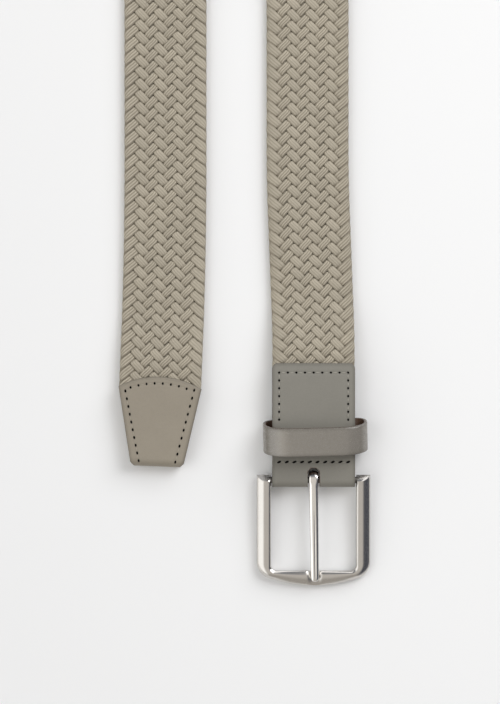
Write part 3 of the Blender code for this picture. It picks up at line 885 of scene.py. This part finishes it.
def stitchTree():
    tree, given, result = newTree("pierceAndStitch", "GeometryNodeTree", {
        "Leather piece": "Geometry", "Seam": "Object", "Hole width": "Float", "Hole depth": "Float",
        "Thread width": "Float", "Thread sink": "Float", "Thread rise": "Float", "Thread start": "Float",
        "Leather": "Material", "Hole": "Material", "Thread": "Material",
    }, {"Stitched": "Geometry"})
    seam = geo(tree, "ObjectInfo", {"Object": given["Seam"]}, {"transform_space": "RELATIVE"}, "Geometry")
    awl = geo(tree, "MeshCone", {
        "Vertices": leatherWork["holeSides"], "Side Segments": 1, "Radius Top": given["Hole width"] * 0.5,
        "Radius Bottom": given["Hole width"] * leatherWork["holeTaper"], "Depth": given["Hole depth"] * 2.0,
    }, {"fill_type": "NGON"})
    sunk = joinXYZ(tree, 0, 0, given["Hole depth"] * -1.0)
    awl = geo(tree, "Transform", {"Geometry": awl, "Translation": sunk})
    turn = nodeTerm(tree, "FunctionNodeEulerToRotation", {"Euler": readVector(tree, "turn")})
    awls = geo(tree, "InstanceOnPoints", {"Points": seam, "Instance": setMaterial(awl, given["Hole"]),
                                          "Rotation": turn, "Scale": readVector(tree, "size")})
    awls = geo(tree, "RealizeInstances", {"Geometry": awls})
    cut = geo(tree, "MeshBoolean", {"Mesh 1": setMaterial(given["Leather piece"], given["Leather"]),
                                    "Mesh 2": awls}, {"operation": "DIFFERENCE", "solver": "EXACT"})

    # one short thread from hole to hole, sunk at both ends
    threads = geo(tree, "MeshToCurve", {"Mesh": geo(tree, "SplitEdges", {"Mesh": seam})})
    trim = newNode(tree, "GeometryNodeTrimCurve", {"Curve": threads}, {"mode": "FACTOR"})
    plug(live(trim.inputs, "Start"), given["Thread start"])
    plug(live(trim.inputs, "End"), 1.0 - given["Thread start"])
    trimmed, count = Term(tree, trim.outputs[0]), leatherWork["threadPoints"]
    threads = geo(tree, "ResampleCurve", {"Curve": trimmed, "Count": count})
    factor = geo(tree, "SplineParameter", output="Factor")
    arch = (factor * math.pi).calc("SINE").calc("MAXIMUM", 0.0).calc("POWER", 0.5)
    rise = arch * (given["Thread sink"] + given["Thread rise"]) + given["Thread sink"] * -1.0
    threads = geo(tree, "SetPosition", {"Geometry": threads, "Offset": scaled(readVector(tree, "out"), rise)})
    ring = geo(tree, "CurvePrimitiveCircle", {
        "Resolution": leatherWork["threadSides"], "Radius": given["Thread width"] * 0.5})
    threads = geo(tree, "CurveToMesh", {"Curve": threads, "Profile Curve": ring, "Fill Caps": True})
    threads = geo(tree, "SetShadeSmooth", {"Geometry": threads})
    both = newNode(tree, "GeometryNodeJoinGeometry")
    plug(both.inputs[0], setMaterial(threads, given["Thread"]))
    plug(both.inputs[0], cut)
    plug(result["Stitched"], geo(tree, "RealizeInstances", {"Geometry": Term(tree, both.outputs[0])}))
    return tree


pierceAndStitch = stitchTree()


def stitched(base, seams, sizes, material, thread, name):
    height = leatherWork["room"] + sizes["ply"] - leatherWork["grooveDepth"]
    seam = seamObject(name + "Seam", seams, height)
    mesh = runNodes(base, pierceAndStitch, {
        "Seam": seam, "Hole width": sizes["holeWidth"], "Hole depth": leatherWork["holeDepth"],
        "Thread width": sizes["threadWidth"], "Thread sink": leatherWork["threadSink"],
        "Thread rise": sizes["threadRise"], "Thread start": sizes["threadStart"],
        "Leather": material, "Hole": holeShade, "Thread": thread}, name)
    dropObject(seam)
    dropObject(base)
    return mesh


def splitEvenly(path, count):
    # points at equal steps along a path of plan points
    lengths = [0.0]
    for (ax, ay), (bx, by) in zip(path, path[1:]):
        lengths.append(lengths[-1] + math.hypot(bx - ax, by - ay))
    spread = []
    for i in range(count):
        goal = lengths[-1] * i / (count - 1)
        j = max(k for k in range(len(path) - 1) if lengths[k] <= goal + 1e-12)
        share = (goal - lengths[j]) / (lengths[j + 1] - lengths[j])
        spread.append(tuple(a + (b - a) * share for a, b in zip(path[j], path[j + 1])))
    return spread


def addLeatherMarks(mesh, outline, seams, rawTest=None):
    # distances in millimetres that the leather's dye and seams are drawn from
    points = meshPoints(mesh)
    setFloats(mesh, "rim", distanceToPath(points, outline) / mm)
    setFloats(mesh, "seam", np.min([distanceToPath(points, path) / mm for path in seams], axis=0))
    setFloats(mesh, "raw", rawTest(points) if rawTest else np.zeros(len(points)))


# leather tip on the free end

tip = {
    "ply": 1.4 * mm,
    "mouthMargin": 0.15 * mm,
    "endCorner": 0.95 * mm,
    "rimRound": 0.8 * mm,
    "columns": 56,
    "rows": 60,
    "sideInset": 2.75 * mm,
    "archInset": 2.8 * mm,
    "cornerInset": 0.3 * mm,
    "cornerRise": 0.75 * mm,      # the seam starts lower on the left than on the right
    "footInset": 1.0 * mm,
    "archStart": 2.15 * mm,
    "sideHoles": 10,
    "archHoles": 9,
    "archStretch": 1.3,
    "endHole": 2.2 * mm,          # from the folded end to the last hole
    "holeWidth": 1.08 * mm,
    "holeStretch": 1.65,
    "threadWidth": 0.36 * mm,
    "threadRise": -0.08 * mm,
    "threadStart": 0.2,
}


def makeTip():
    foldRadius = leatherWork["room"] + tip["ply"]
    mouthHalf = belt["width"] / 2 + tip["mouthMargin"]
    endHalf, length, arch = belt["tipEndWidth"] / 2, belt["tipLength"], belt["tipArch"]
    archRadius = (mouthHalf ** 2 + arch ** 2) / (2 * arch)

    def halfWidth(y):
        fromEnd = y + foldRadius
        chamfer = max(0.0, tip["endCorner"] - fromEnd)
        share = min(max((fromEnd - tip["endCorner"]) / (length - tip["endCorner"]), 0.0), 1.0)
        return endHalf + (mouthHalf - endHalf) * share - chamfer

    def mouthAt(x):
        return length - foldRadius + arch - archRadius + math.sqrt(max(archRadius ** 2 - x * x, 0))

    side = [(halfWidth(y - foldRadius), y - foldRadius) for y in
            (0, tip["endCorner"], 0.3 * length, 0.7 * length, length)]
    mouth = [mouthHalf * math.cos(math.pi * i / 40) for i in range(41)]
    outline = side + [(x, mouthAt(x)) for x in mouth] + [(-x, y) for x, y in reversed(side)]

    cornerX = mouthHalf - tip["sideInset"] - tip["cornerInset"]
    cornerY = mouthAt(cornerX) - tip["archInset"]
    foot = tip["endHole"] - foldRadius
    lowX = halfWidth(foot) - tip["sideInset"] - tip["footInset"]
    rightSeam = splitEvenly([(lowX, foot), (cornerX, cornerY + tip["cornerRise"])], tip["sideHoles"])
    leftSeam = splitEvenly([(-cornerX, cornerY - tip["cornerRise"]), (-lowX, foot)], tip["sideHoles"])
    span = 2 * cornerX - tip["archStart"]
    archPath = [cornerX - span * i / 30 for i in range(31)]
    archPath = [(x, mouthAt(x) - tip["archInset"]) for x in archPath]
    archSeam = splitEvenly(archPath, tip["archHoles"])[1:]
    seams = [rightSeam + archSeam + leftSeam]
    base = foldedStrip("tipBase", tip, halfWidth, mouthAt, outline, seams)
    stretch = tip["holeStretch"]
    rows = [(rightSeam, 0, stretch), (archSeam, 90, tip["archStretch"]), (leftSeam, 0, stretch)]
    mesh = stitched(base, rows, tip, tipLeather, tipThread, "leatherTip")
    addLeatherMarks(mesh, outline, seams)
    point, heading, _ = routePoint(routeLength)
    ahead = Vector((math.cos(heading), math.sin(heading), 0))
    place = atBar(point - ahead * foldRadius, belt["tipHeight"])
    mesh.transform(Matrix.Translation(place) @ Matrix.Rotation(heading - math.radians(270), 4, "Z"))
    mesh.set_sharp_from_angle(angle=math.radians(leatherWork["sharpAngle"]))
    finishPiece(showMesh("leatherTip", mesh), "belt", "leather", "leather_tip")


makeTip()


# leather tab folded round the heel bar

tab = {
    "ply": 1.3 * mm,
    "half": 17.6 * mm,
    "corner": 2.3 * mm,
    "rimRound": 0.4 * mm,
    "columns": 60,
    "rows": 80,
    "seamSide": 14.65 * mm,
    "seamTop": 45.7 * mm,
    "seamStep": 3.33 * mm,
    "seamFoot": 7.75 * mm,
    "topHoles": 9,
    "sideHoles": 6,
    "footHoles": 10,
    "slotHalf": 2.55 * mm,
    "slotReach": 5.2 * mm,
    "holeWidth": 1.15 * mm,
    "holeStretch": 1.15,
    "footStretch": 2.0,
    "footSlant": -156,            # the holes of the lower row are cut aslant
    "threadWidth": 0.42 * mm,
    "threadRise": 0.02 * mm,
    "threadStart": 0.3,
}


def makeTab():
    corner, length = tab["corner"], belt["tabLength"]

    def halfWidth(y):
        over = max(0.0, y - (length - corner))
        return tab["half"] - corner + math.sqrt(max(corner ** 2 - over ** 2, 0.0))

    foldRadius = leatherWork["room"] + tab["ply"]
    side = [(tab["half"], -foldRadius), (tab["half"], length - corner)]
    side += [(tab["half"] - corner + corner * math.cos(a), length - corner + corner * math.sin(a))
             for a in (math.radians(15 * i) for i in range(1, 7))]
    outline = side + [(-x, y) for x, y in reversed(side)]
    top, x = tab["seamTop"], tab["seamSide"]
    sideSeam = [(x, top - tab["seamStep"] * i) for i in range(tab["sideHoles"], 0, -1)]
    topSeam = splitEvenly([(x, top), (-x, top)], tab["topHoles"])
    footSeam = splitEvenly([(x, tab["seamFoot"]), (-x, tab["seamFoot"])], tab["footHoles"])
    seams = [sideSeam + topSeam + [(-px, py) for px, py in reversed(sideSeam)], footSeam]
    base = foldedStrip("tabBase", tab, halfWidth, lambda x: length, outline, seams)

    # slot for the prong, rounded at both plies
    low, radius, reach = -3 * foldRadius, tab["slotHalf"], tab["slotReach"]
    slot = [(-radius, low), (radius, low)]
    slot += [(radius * math.cos(a), reach - radius + radius * math.sin(a))
             for a in (math.pi * i / 20 for i in range(21))]
    rings = [[(px, py, z) for px, py in slot] for z in (low, -low)]
    cutter = showMesh("slotShape", closeMesh("slotShape", joinRings(rings)))
    cut = base.modifiers.new("slot", "BOOLEAN")
    cut.operation = "DIFFERENCE"
    cut.solver = "EXACT"
    cut.object = cutter
    rows = [(seams[0], 0, tab["holeStretch"]), (seams[1], tab["footSlant"], tab["footStretch"])]
    mesh = stitched(base, rows, tab, tabLeather, tabThread, "buckleTab")
    dropObject(cutter)

    def rawEdge(points):
        near = distanceToPath(points, slot) / mm
        return np.where((near < 0.02) & (points[:, 1] < reach + mm), 1.0, 0.0)

    addLeatherMarks(mesh, outline, seams, rawEdge)
    mesh.transform(Matrix.Translation(belt["barPlace"]))
    mesh.set_sharp_from_angle(angle=math.radians(leatherWork["sharpAngle"]))
    finishPiece(showMesh("buckleTab", mesh), "belt", "leather", "buckle_tab")


makeTab()


# keeper loop round the tab

keeper = {
    "ply": 1.3 * mm,
    "strip": 11.8 * mm,
    "height": 14.4 * mm,
    "width": 44.4 * mm,
    "topBend": (11.5 * mm, 8.2 * mm),    # half width and half height of the oval bends at the top
    "baseBend": (4.6 * mm, 4.6 * mm),
    "bendSteps": 16,
    "lean": 4.0 * mm,
    "offset": 0.8 * mm,
    "place": 16.15 * mm,
    "yaw": 1.5,
    "rimRound": 0.42 * mm,
    "rimAngles": (90, 67, 45, 22, 0),
    "highlightAt": -14.2 * mm,         # place and reach of the painted highlight on the left bend
    "highlightReach": 2.9 * mm,
    "noSeam": 9.0,                # millimetres, too far off for a seam's shade
    "sharpAngle": 50,
}


def makeKeeper():
    half, height = keeper["width"] / 2, keeper["height"]
    (topX, topZ), (baseX, baseZ) = keeper["topBend"], keeper["baseBend"]
    corners = ((half - topX, height - topZ, topX, topZ, 0), (topX - half, height - topZ, topX, topZ, 90),
               (baseX - half, baseZ, baseX, baseZ, 180), (half - baseX, baseZ, baseX, baseZ, 270))
    steps = keeper["bendSteps"]
    stations = []          # place on the outer side and the way out of it
    for x, z, bendX, bendZ, start in corners:
        for step in range(steps + 1):
            angle = math.radians(start + 90 * step / steps)
            out = Vector((math.cos(angle) / bendX, math.sin(angle) / bendZ)).normalized()
            stations.append((x + bendX * math.cos(angle), z + bendZ * math.sin(angle), out))
    edge, ply, wide = keeper["rimRound"], keeper["ply"], keeper["strip"] / 2
    # inset from the outer side and place across the strip, round one section
    rim = [(edge - edge * math.sin(math.radians(a)), edge * math.cos(math.radians(a)) - edge + wide)
           for a in keeper["rimAngles"]]
    rim += [(ply - 0.25 * edge, wide), (ply, wide - 0.25 * edge)]
    section = [(inset, -y) for inset, y in reversed(rim)]
    section += [(0, (wide - edge) * (i / 4 - 1)) for i in range(1, 8)]
    section += rim + [(ply, 0.5 * wide * i) for i in (1, 0, -1)]
    rings = []
    for x, z, out in stations:
        spots = [(x - inset * out.x, y, z - inset * out.y) for inset, y in section]
        rings.append([(px, y + keeper["lean"] * (1 - pz / height), pz) for px, y, pz in spots])
    mesh = closeMesh("keeperLoop", joinRings(rings, loop=True))
    points = meshPoints(mesh)
    across = points[:, 1] - keeper["lean"] * (1 - points[:, 2] / height)
    setFloats(mesh, "rim", (wide - np.abs(across)) / mm)
    setFloats(mesh, "seam", np.full(len(points), keeper["noSeam"]))
    flesh = [1.0 if inset > 0.7 * ply else 0.0 for inset, _ in section]
    setFloats(mesh, "raw", np.tile(flesh, len(stations)))
    # painted highlight on the keeper's left bend
    setFloats(mesh, "paintedHighlight", np.exp(-((points[:, 0] - keeper["highlightAt"]) / keeper["highlightReach"]) ** 2))
    smoothMesh(mesh, keeper["sharpAngle"], keeperLeather)
    place = atBar(Vector((keeper["offset"], keeper["place"])), 0)
    mesh.transform(Matrix.Translation(place) @ Matrix.Rotation(math.radians(keeper["yaw"]), 4, "Z"))
    finishPiece(showMesh("keeperLoop", mesh), "belt", "leather", "keeper_loop")


makeKeeper()


# metal frame with its heel bar

buckle = {
    "thickness": 4.0 * mm,
    "inner": 18.15 * mm,
    "outer": 24.2 * mm,
    "window": 38.9 * mm,
    "front": 6.3 * mm,
    "armTop": 2.1 * mm,
    "innerCorner": 2.5 * mm,
    "outerCorner": 7.5 * mm,
    "bow": 59.0 * mm,
    "hip": 2.8 * mm,
    "steps": (6, 12, 18, 36),     # along the hip, the arm, the corner and half the front bar
    "bowSpacing": 1.25,
    "barRadius": 1.4 * mm,
    "barSides": 36,
    "barOver": 1.0 * mm,          # how far the bar runs into each arm
    "notchDepth": 0.8 * mm,
    "notchHalf": 2.6 * mm,
    "notchPlace": 0.6 * mm,
    "notchSquare": 2.8,
    "notchFade": 0.35,            # share of the thickness over which the notch comes in
    "bevelBlend": 4 * mm,         # from the left bevel to the right one
    # section from the window's edge outwards: share of the width, share of the height;
    # the arms have a narrow bevel, the front bar a wide one that is steeper at the right of the prong
    "foot": ((0.0, 0.0), (0.0, 0.30)),
    "armBevel": ((0.0, 0.78), (0.008, 0.83), (0.03, 0.875), (0.055, 0.915), (0.08, 0.95), (0.11, 0.972),
                 (0.17, 0.988), (0.27, 1.0)),
    "leftBevel": ((0.0, 0.78), (0.008, 0.83), (0.03, 0.852), (0.10, 0.892), (0.18, 0.938), (0.25, 0.976),
                  (0.29, 0.99), (0.36, 1.0)),
    "rightBevel": ((0.0, 0.74), (0.008, 0.80), (0.03, 0.835), (0.08, 0.885), (0.12, 0.915), (0.19, 0.955),
                   (0.25, 0.985), (0.34, 1.0)),
    "slope": ((0.42, 0.99), (0.52, 0.962), (0.62, 0.912), (0.71, 0.84), (0.79, 0.762), (0.86, 0.685),
              (0.92, 0.61), (0.965, 0.54), (0.99, 0.47), (1.0, 0.40), (1.0, 0.16), (0.985, 0.06), (0.95, 0.0)),
    # facets at the arms' ends: way it faces (0 along the arm, 1 to the window, -1 outwards),
    # drop from the top at the arm's end, steepness
    "facets": ((0, 2.4 * mm, 44), (1, 1.6 * mm, 31), (-1, 2.1 * mm, 31)),
    "facetReach": 12 * mm,
    "sharpAngle": 32,
}


def buckleSpace():
    tilt = Matrix.Rotation(math.radians(belt["frameTilt"]), 4, "X")
    return Matrix.Translation(belt["barPlace"]) @ tilt


def framePairs():
    # places on the window's edge and on the outer edge, from the right arm to the middle
    inner, outer, window = buckle["inner"], buckle["outer"], buckle["window"]
    inRound, outRound, bow = buckle["innerCorner"], buckle["outerCorner"], buckle["bow"]
    bowY = bow - window - buckle["front"]
    cornerX = outer - outRound
    cornerY = bowY - math.sqrt((bow - outRound) ** 2 - cornerX ** 2)
    slant = math.degrees(math.asin(cornerX / (bow - outRound)))
    inX, inY = inner - inRound, inRound - window
    armTop, hipY = buckle["armTop"], buckle["armTop"] - buckle["hip"]
    hipSteps, armSteps, turnSteps, bowSteps = buckle["steps"]
    pairs = []
    for i in range(hipSteps + 1):
        y = armTop + (hipY - armTop) * i / hipSteps
        pairs.append(((inner, y), (outer, y)))
    for i in range(1, armSteps):
        share = i / armSteps
        pairs.append(((inner, hipY + (inY - hipY) * share), (outer, hipY + (cornerY - hipY) * share)))
    for i in range(turnSteps + 1):
        inAngle, outAngle = [math.radians(turn * i / turnSteps) for turn in (-90, slant - 90)]
        pairs.append(((inX + inRound * math.cos(inAngle), inY + inRound * math.sin(inAngle)),
                      (cornerX + outRound * math.cos(outAngle), cornerY + outRound * math.sin(outAngle))))
    startX = pairs[-1][1][0]
    for i in range(1, bowSteps + 1):
        share = (1 - i / bowSteps) ** buckle["bowSpacing"]
        outX = startX * share
        pairs.append(((inX * share, -window), (outX, bowY - math.sqrt(bow ** 2 - outX ** 2))))
    return pairs


def cutFacet(bm, side, lean, drop, steep):
    # planes off one end of an arm, as a file would, and closes it
    steep = math.radians(steep)
    way = Vector((-side * lean, 1, 0)).normalized()
    normal = way * math.sin(steep) + Vector((0, 0, math.cos(steep)))
    corner = {0: 0, 1: buckle["inner"], -1: buckle["outer"]}[lean]
    point = Vector((side * corner, buckle["armTop"], buckle["thickness"] / 2 - drop))
    faces = []
    for face in bm.faces:
        middle = face.calc_center_median()
        if side * middle.x > 0 and middle.y > buckle["armTop"] - buckle["facetReach"]:
            faces.append(face)
    # a dictionary keeps the order, so that each run cuts alike
    parts = faces + list(dict.fromkeys(edge for face in faces for edge in face.edges))
    parts += list(dict.fromkeys(spot for face in faces for spot in face.verts))
    cut = bmesh.ops.bisect_plane(bm, geom=parts, dist=1e-7, plane_co=point, plane_no=normal, clear_outer=True)
    rim = [part for part in cut["geom_cut"] if isinstance(part, bmesh.types.BMEdge) and part.is_boundary]
    for face in bmesh.ops.holes_fill(bm, edges=rim, sides=0)["faces"]:
        for edge in face.edges:
            edge.smooth = False


def frameSection(inner, outer):
    # points of one section of the frame, between a place at the window and one at the outer edge
    thick, corner = buckle["thickness"], buckle["innerCorner"]
    front = smoothStep((-inner[1] - buckle["window"] + corner) / corner)
    rightPart = smoothStep((inner[0] + mm) / buckle["bevelBlend"])
    bevels = zip(buckle["armBevel"], buckle["leftBevel"], buckle["rightBevel"])
    bevel = [tuple(a + (b + (c - b) * rightPart - a) * front for a, b, c in zip(*three)) for three in bevels]
    section = []
    for across, height in (*buckle["foot"], *bevel, *buckle["slope"]):
        x, y = [a + (b - a) * across for a, b in zip(inner, outer)]
        z = thick * (height - 0.5)
        notch = math.exp(-abs((x - buckle["notchPlace"]) / buckle["notchHalf"]) ** buckle["notchSquare"])
        if y < -buckle["window"] + mm and z > 0:
            z -= buckle["notchDepth"] * notch * min(1.0, z / (buckle["notchFade"] * thick))
        section.append((x, y, z))
    return section


def makeFrame():
    right = framePairs()
    left = [((-a[0], a[1]), (-b[0], b[1])) for a, b in reversed(right[:-1])]
    bm = joinRings([frameSection(inner, outer) for inner, outer in right + left])
    for side in (-1, 1):
        for lean, drop, steep in buckle["facets"]:
            cutFacet(bm, side, lean, drop, steep)
    radius = buckle["barRadius"]
    bar = bmesh.ops.create_cone(bm, cap_ends=True, segments=buckle["barSides"], radius1=radius, radius2=radius,
                                depth=2 * (buckle["inner"] + buckle["barOver"]))["verts"]
    bmesh.ops.rotate(bm, verts=bar, matrix=Matrix.Rotation(math.radians(90), 3, "Y"))
    # the heel bar takes the painted shade
    for face in {face for spot in bar for face in spot.link_faces}:
        face.material_index = 1
    mesh = closeMesh("buckleFrame", bm)
    smoothMesh(mesh, buckle["sharpAngle"], satinNickel, paintedShadeBar)
    mesh.transform(buckleSpace())
    finishPiece(showMesh("buckleFrame", mesh), "frame", "metal", "buckle_frame")


makeFrame()


# prong, curled round the heel bar

prong = {
    "width": 3.9 * mm,
    "height": 2.4 * mm,
    "reach": 43.2 * mm,
    "sides": 96,                  # enough for the line along its top to show
    "square": (0.9, 0.85),
    "eyeRadius": 2.9 * mm,
    "eyeBack": 4.0 * mm,
    "eyeSteps": 8,
    "curlSteps": 23,
    "curlTurn": 12,
    "bore": 1.7 * mm,
    "yaw": 0.8,
    # shallow line pressed along its top: depth, place and width as shares, where it starts and deepens
    "groove": (0.15, 0.12, 0.17),
    "grooveStart": 5 * mm,
    "grooveGrow": 11 * mm,
    "sharpAngle": 50,
    # share of the reach, of the width and of the height, up to the rounded tip
    "rows": ((0.09, 1.0, 1.0), (0.2, 1.0, 1.0), (0.4, 0.98, 1.0), (0.6, 0.955, 1.0), (0.75, 0.935, 1.0),
             (0.86, 0.92, 1.0), (0.92, 0.91, 0.985), (0.95, 0.885, 0.94), (0.97, 0.83, 0.85), (0.985, 0.71, 0.70),
             (0.994, 0.54, 0.53), (0.9985, 0.30, 0.30), (1.0, 0.06, 0.06)),
}


def prongStations():
    # middle, way out of the rod's back, half height and share of the width, from the tip round the bar
    top, bore, steps = prong["eyeRadius"], prong["bore"], prong["eyeSteps"]
    half = prong["height"] / 2
    endZ = buckle["thickness"] / 2 - buckle["notchDepth"] + belt["gap"] + half
    stations = []
    for along, width, height in reversed(prong["rows"]):
        place = (-prong["reach"] * along, top - half + (endZ - top + half) * along)
        stations.append((place, (0, 1), half * height, width))
    for i in range(steps, 0, -1):
        y = -top * i / steps
        low = max(top - 2 * half, math.sqrt(max(bore ** 2 - y * y, 0)))
        stations.append(((y, (top + low) / 2), (0, 1), (top - low) / 2, 1.0))
    for i in range(prong["curlSteps"]):
        turn = math.radians(prong["curlTurn"] * i)
        out = (math.sin(turn), math.cos(turn))
        far = prong["eyeBack"] if out[0] > 0 else top
        reach = 1 / math.hypot(out[0] / far, out[1] / top)
        middle = (reach + bore) / 2
        stations.append(((out[0] * middle, out[1] * middle), out, (reach - bore) / 2, 1.0))
    return stations


def makeProng():
    squareX, squareZ = prong["square"]
    depth, place, spread = prong["groove"]
    rings = []
    for (y, z), (outY, outZ), half, width in prongStations():
        middleX = -min(y, 0) * math.tan(math.radians(prong["yaw"]))
        pressed = smoothStep((-y - prong["grooveStart"]) / prong["grooveGrow"]) * width
        ring = []
        for i in range(prong["sides"]):
            angle = math.tau * i / prong["sides"]
            cx, cz = math.cos(angle), math.sin(angle)
            px = math.copysign(abs(cx) ** squareX, cx)
            pz = math.copysign(abs(cz) ** squareZ, cz)
            if cz > 0:
                pz -= depth * pressed * math.exp(-((px - place) / spread) ** 2)
            px *= prong["width"] / 2 * width
            ring.append((middleX + px, y + outY * pz * half, z + outZ * pz * half))
        rings.append(ring)
    mesh = closeMesh("buckleProng", joinRings(rings))
    smoothMesh(mesh, prong["sharpAngle"], prongNickel)
    mesh.transform(buckleSpace())
    finishPiece(showMesh("buckleProng", mesh), "prong", "metal", "buckle_prong")


makeProng()


# table, lights and camera

studio = {
    "floorColour": (0.890, 0.896, 0.905, 1),
    "tableHalf": 3.0,
    "tableLevel": -0.32 * mm,     # just below the lowest stitches and strands
    "overhead": (0.68, 0.65, 0.61, 1),
    # walls for the metal to mirror: colour, and where each begins and is full along the axes
    "walls": (
        ((0.15, 0.16, 0.18, 1), (("Y", 0.25, 0.6),)),                         # behind
        ((2.0, 2.0, 2.0, 1), (("Y", 0.76, 0.86), ("Z", 0.20, 0.30))),         # a glow in it
        ((0.46, 0.435, 0.40, 1), (("Y", -0.4, -0.8),)),                       # in front
        ((1.50, 1.50, 1.48, 1), (("X", -0.34, -0.60), ("Y", 0.65, 0.30), ("Z", 0.05, 0.25))),   # left
        ((0.09, 0.095, 0.115, 1), (("X", 0.30, 0.58),)),                      # right
    ),
    "keyPlace": (1.35, 1.05, 1.2),
    "keyAim": (0.50, -0.20, 0.0),
    "keySide": 1.5,
    "keyPower": 37,
    "cameraPlace": (2.35 * mm, -157.69 * mm, 1.4),
    "lens": 167.7,
}


def makeWorld():
    world = bpy.data.worlds.new("studioWorld")
    world.use_nodes = True
    tree = world.node_tree
    way = splitXYZ(nodeTerm(tree, "ShaderNodeTexCoord", output="Generated"))
    colour = studio["overhead"]
    for wallColour, limits in studio["walls"]:
        shares = [easeMap(way[axis], start, full) for axis, start, full in limits]
        share = shares[0]
        for other in shares[1:]:
            share = share * other
        colour = blended(share, colour, wallColour)
    plug(tree.nodes["Background"].inputs["Color"], colour)
    bpy.context.scene.world = world


def makeStudio():
    mesh = bpy.data.meshes.new("table")
    side, level = studio["tableHalf"], studio["tableLevel"]
    mesh.from_pydata([(x * side, y * side, level) for x, y in ((-1, -1), (1, -1), (1, 1), (-1, 1))],
                     [], [(0, 1, 2, 3)])
    table = showMesh("table", mesh)
    made, tree, inputs = newMaterial("paleTable", {"Roughness": 0.75, "Specular IOR Level": 0.25})
    plug(inputs["Base Color"], tinted(studio["floorColour"], cloud(tree, 0.4, 0.02)))
    mesh.materials.append(made)
    makeWorld()
    light = bpy.data.lights.new("keyBox", "AREA")
    light.size, light.energy = studio["keySide"], studio["keyPower"]
    lamp = bpy.data.objects.new("keyBox", light)
    lamp.location = studio["keyPlace"]
    away = Vector(studio["keyAim"]) - Vector(studio["keyPlace"])
    lamp.rotation_euler = away.to_track_quat("-Z", "Y").to_euler()
    bpy.context.collection.objects.link(lamp)
    camera = bpy.data.cameras.new("camera")
    camera.lens = studio["lens"]
    camera.clip_start = 0.01
    eye = bpy.data.objects.new("camera", camera)
    eye.location = studio["cameraPlace"]
    bpy.context.collection.objects.link(eye)
    bpy.context.scene.camera = eye
    bpy.context.scene.view_settings.view_transform = "Standard"
    print("table, lights and camera placed")


makeStudio()
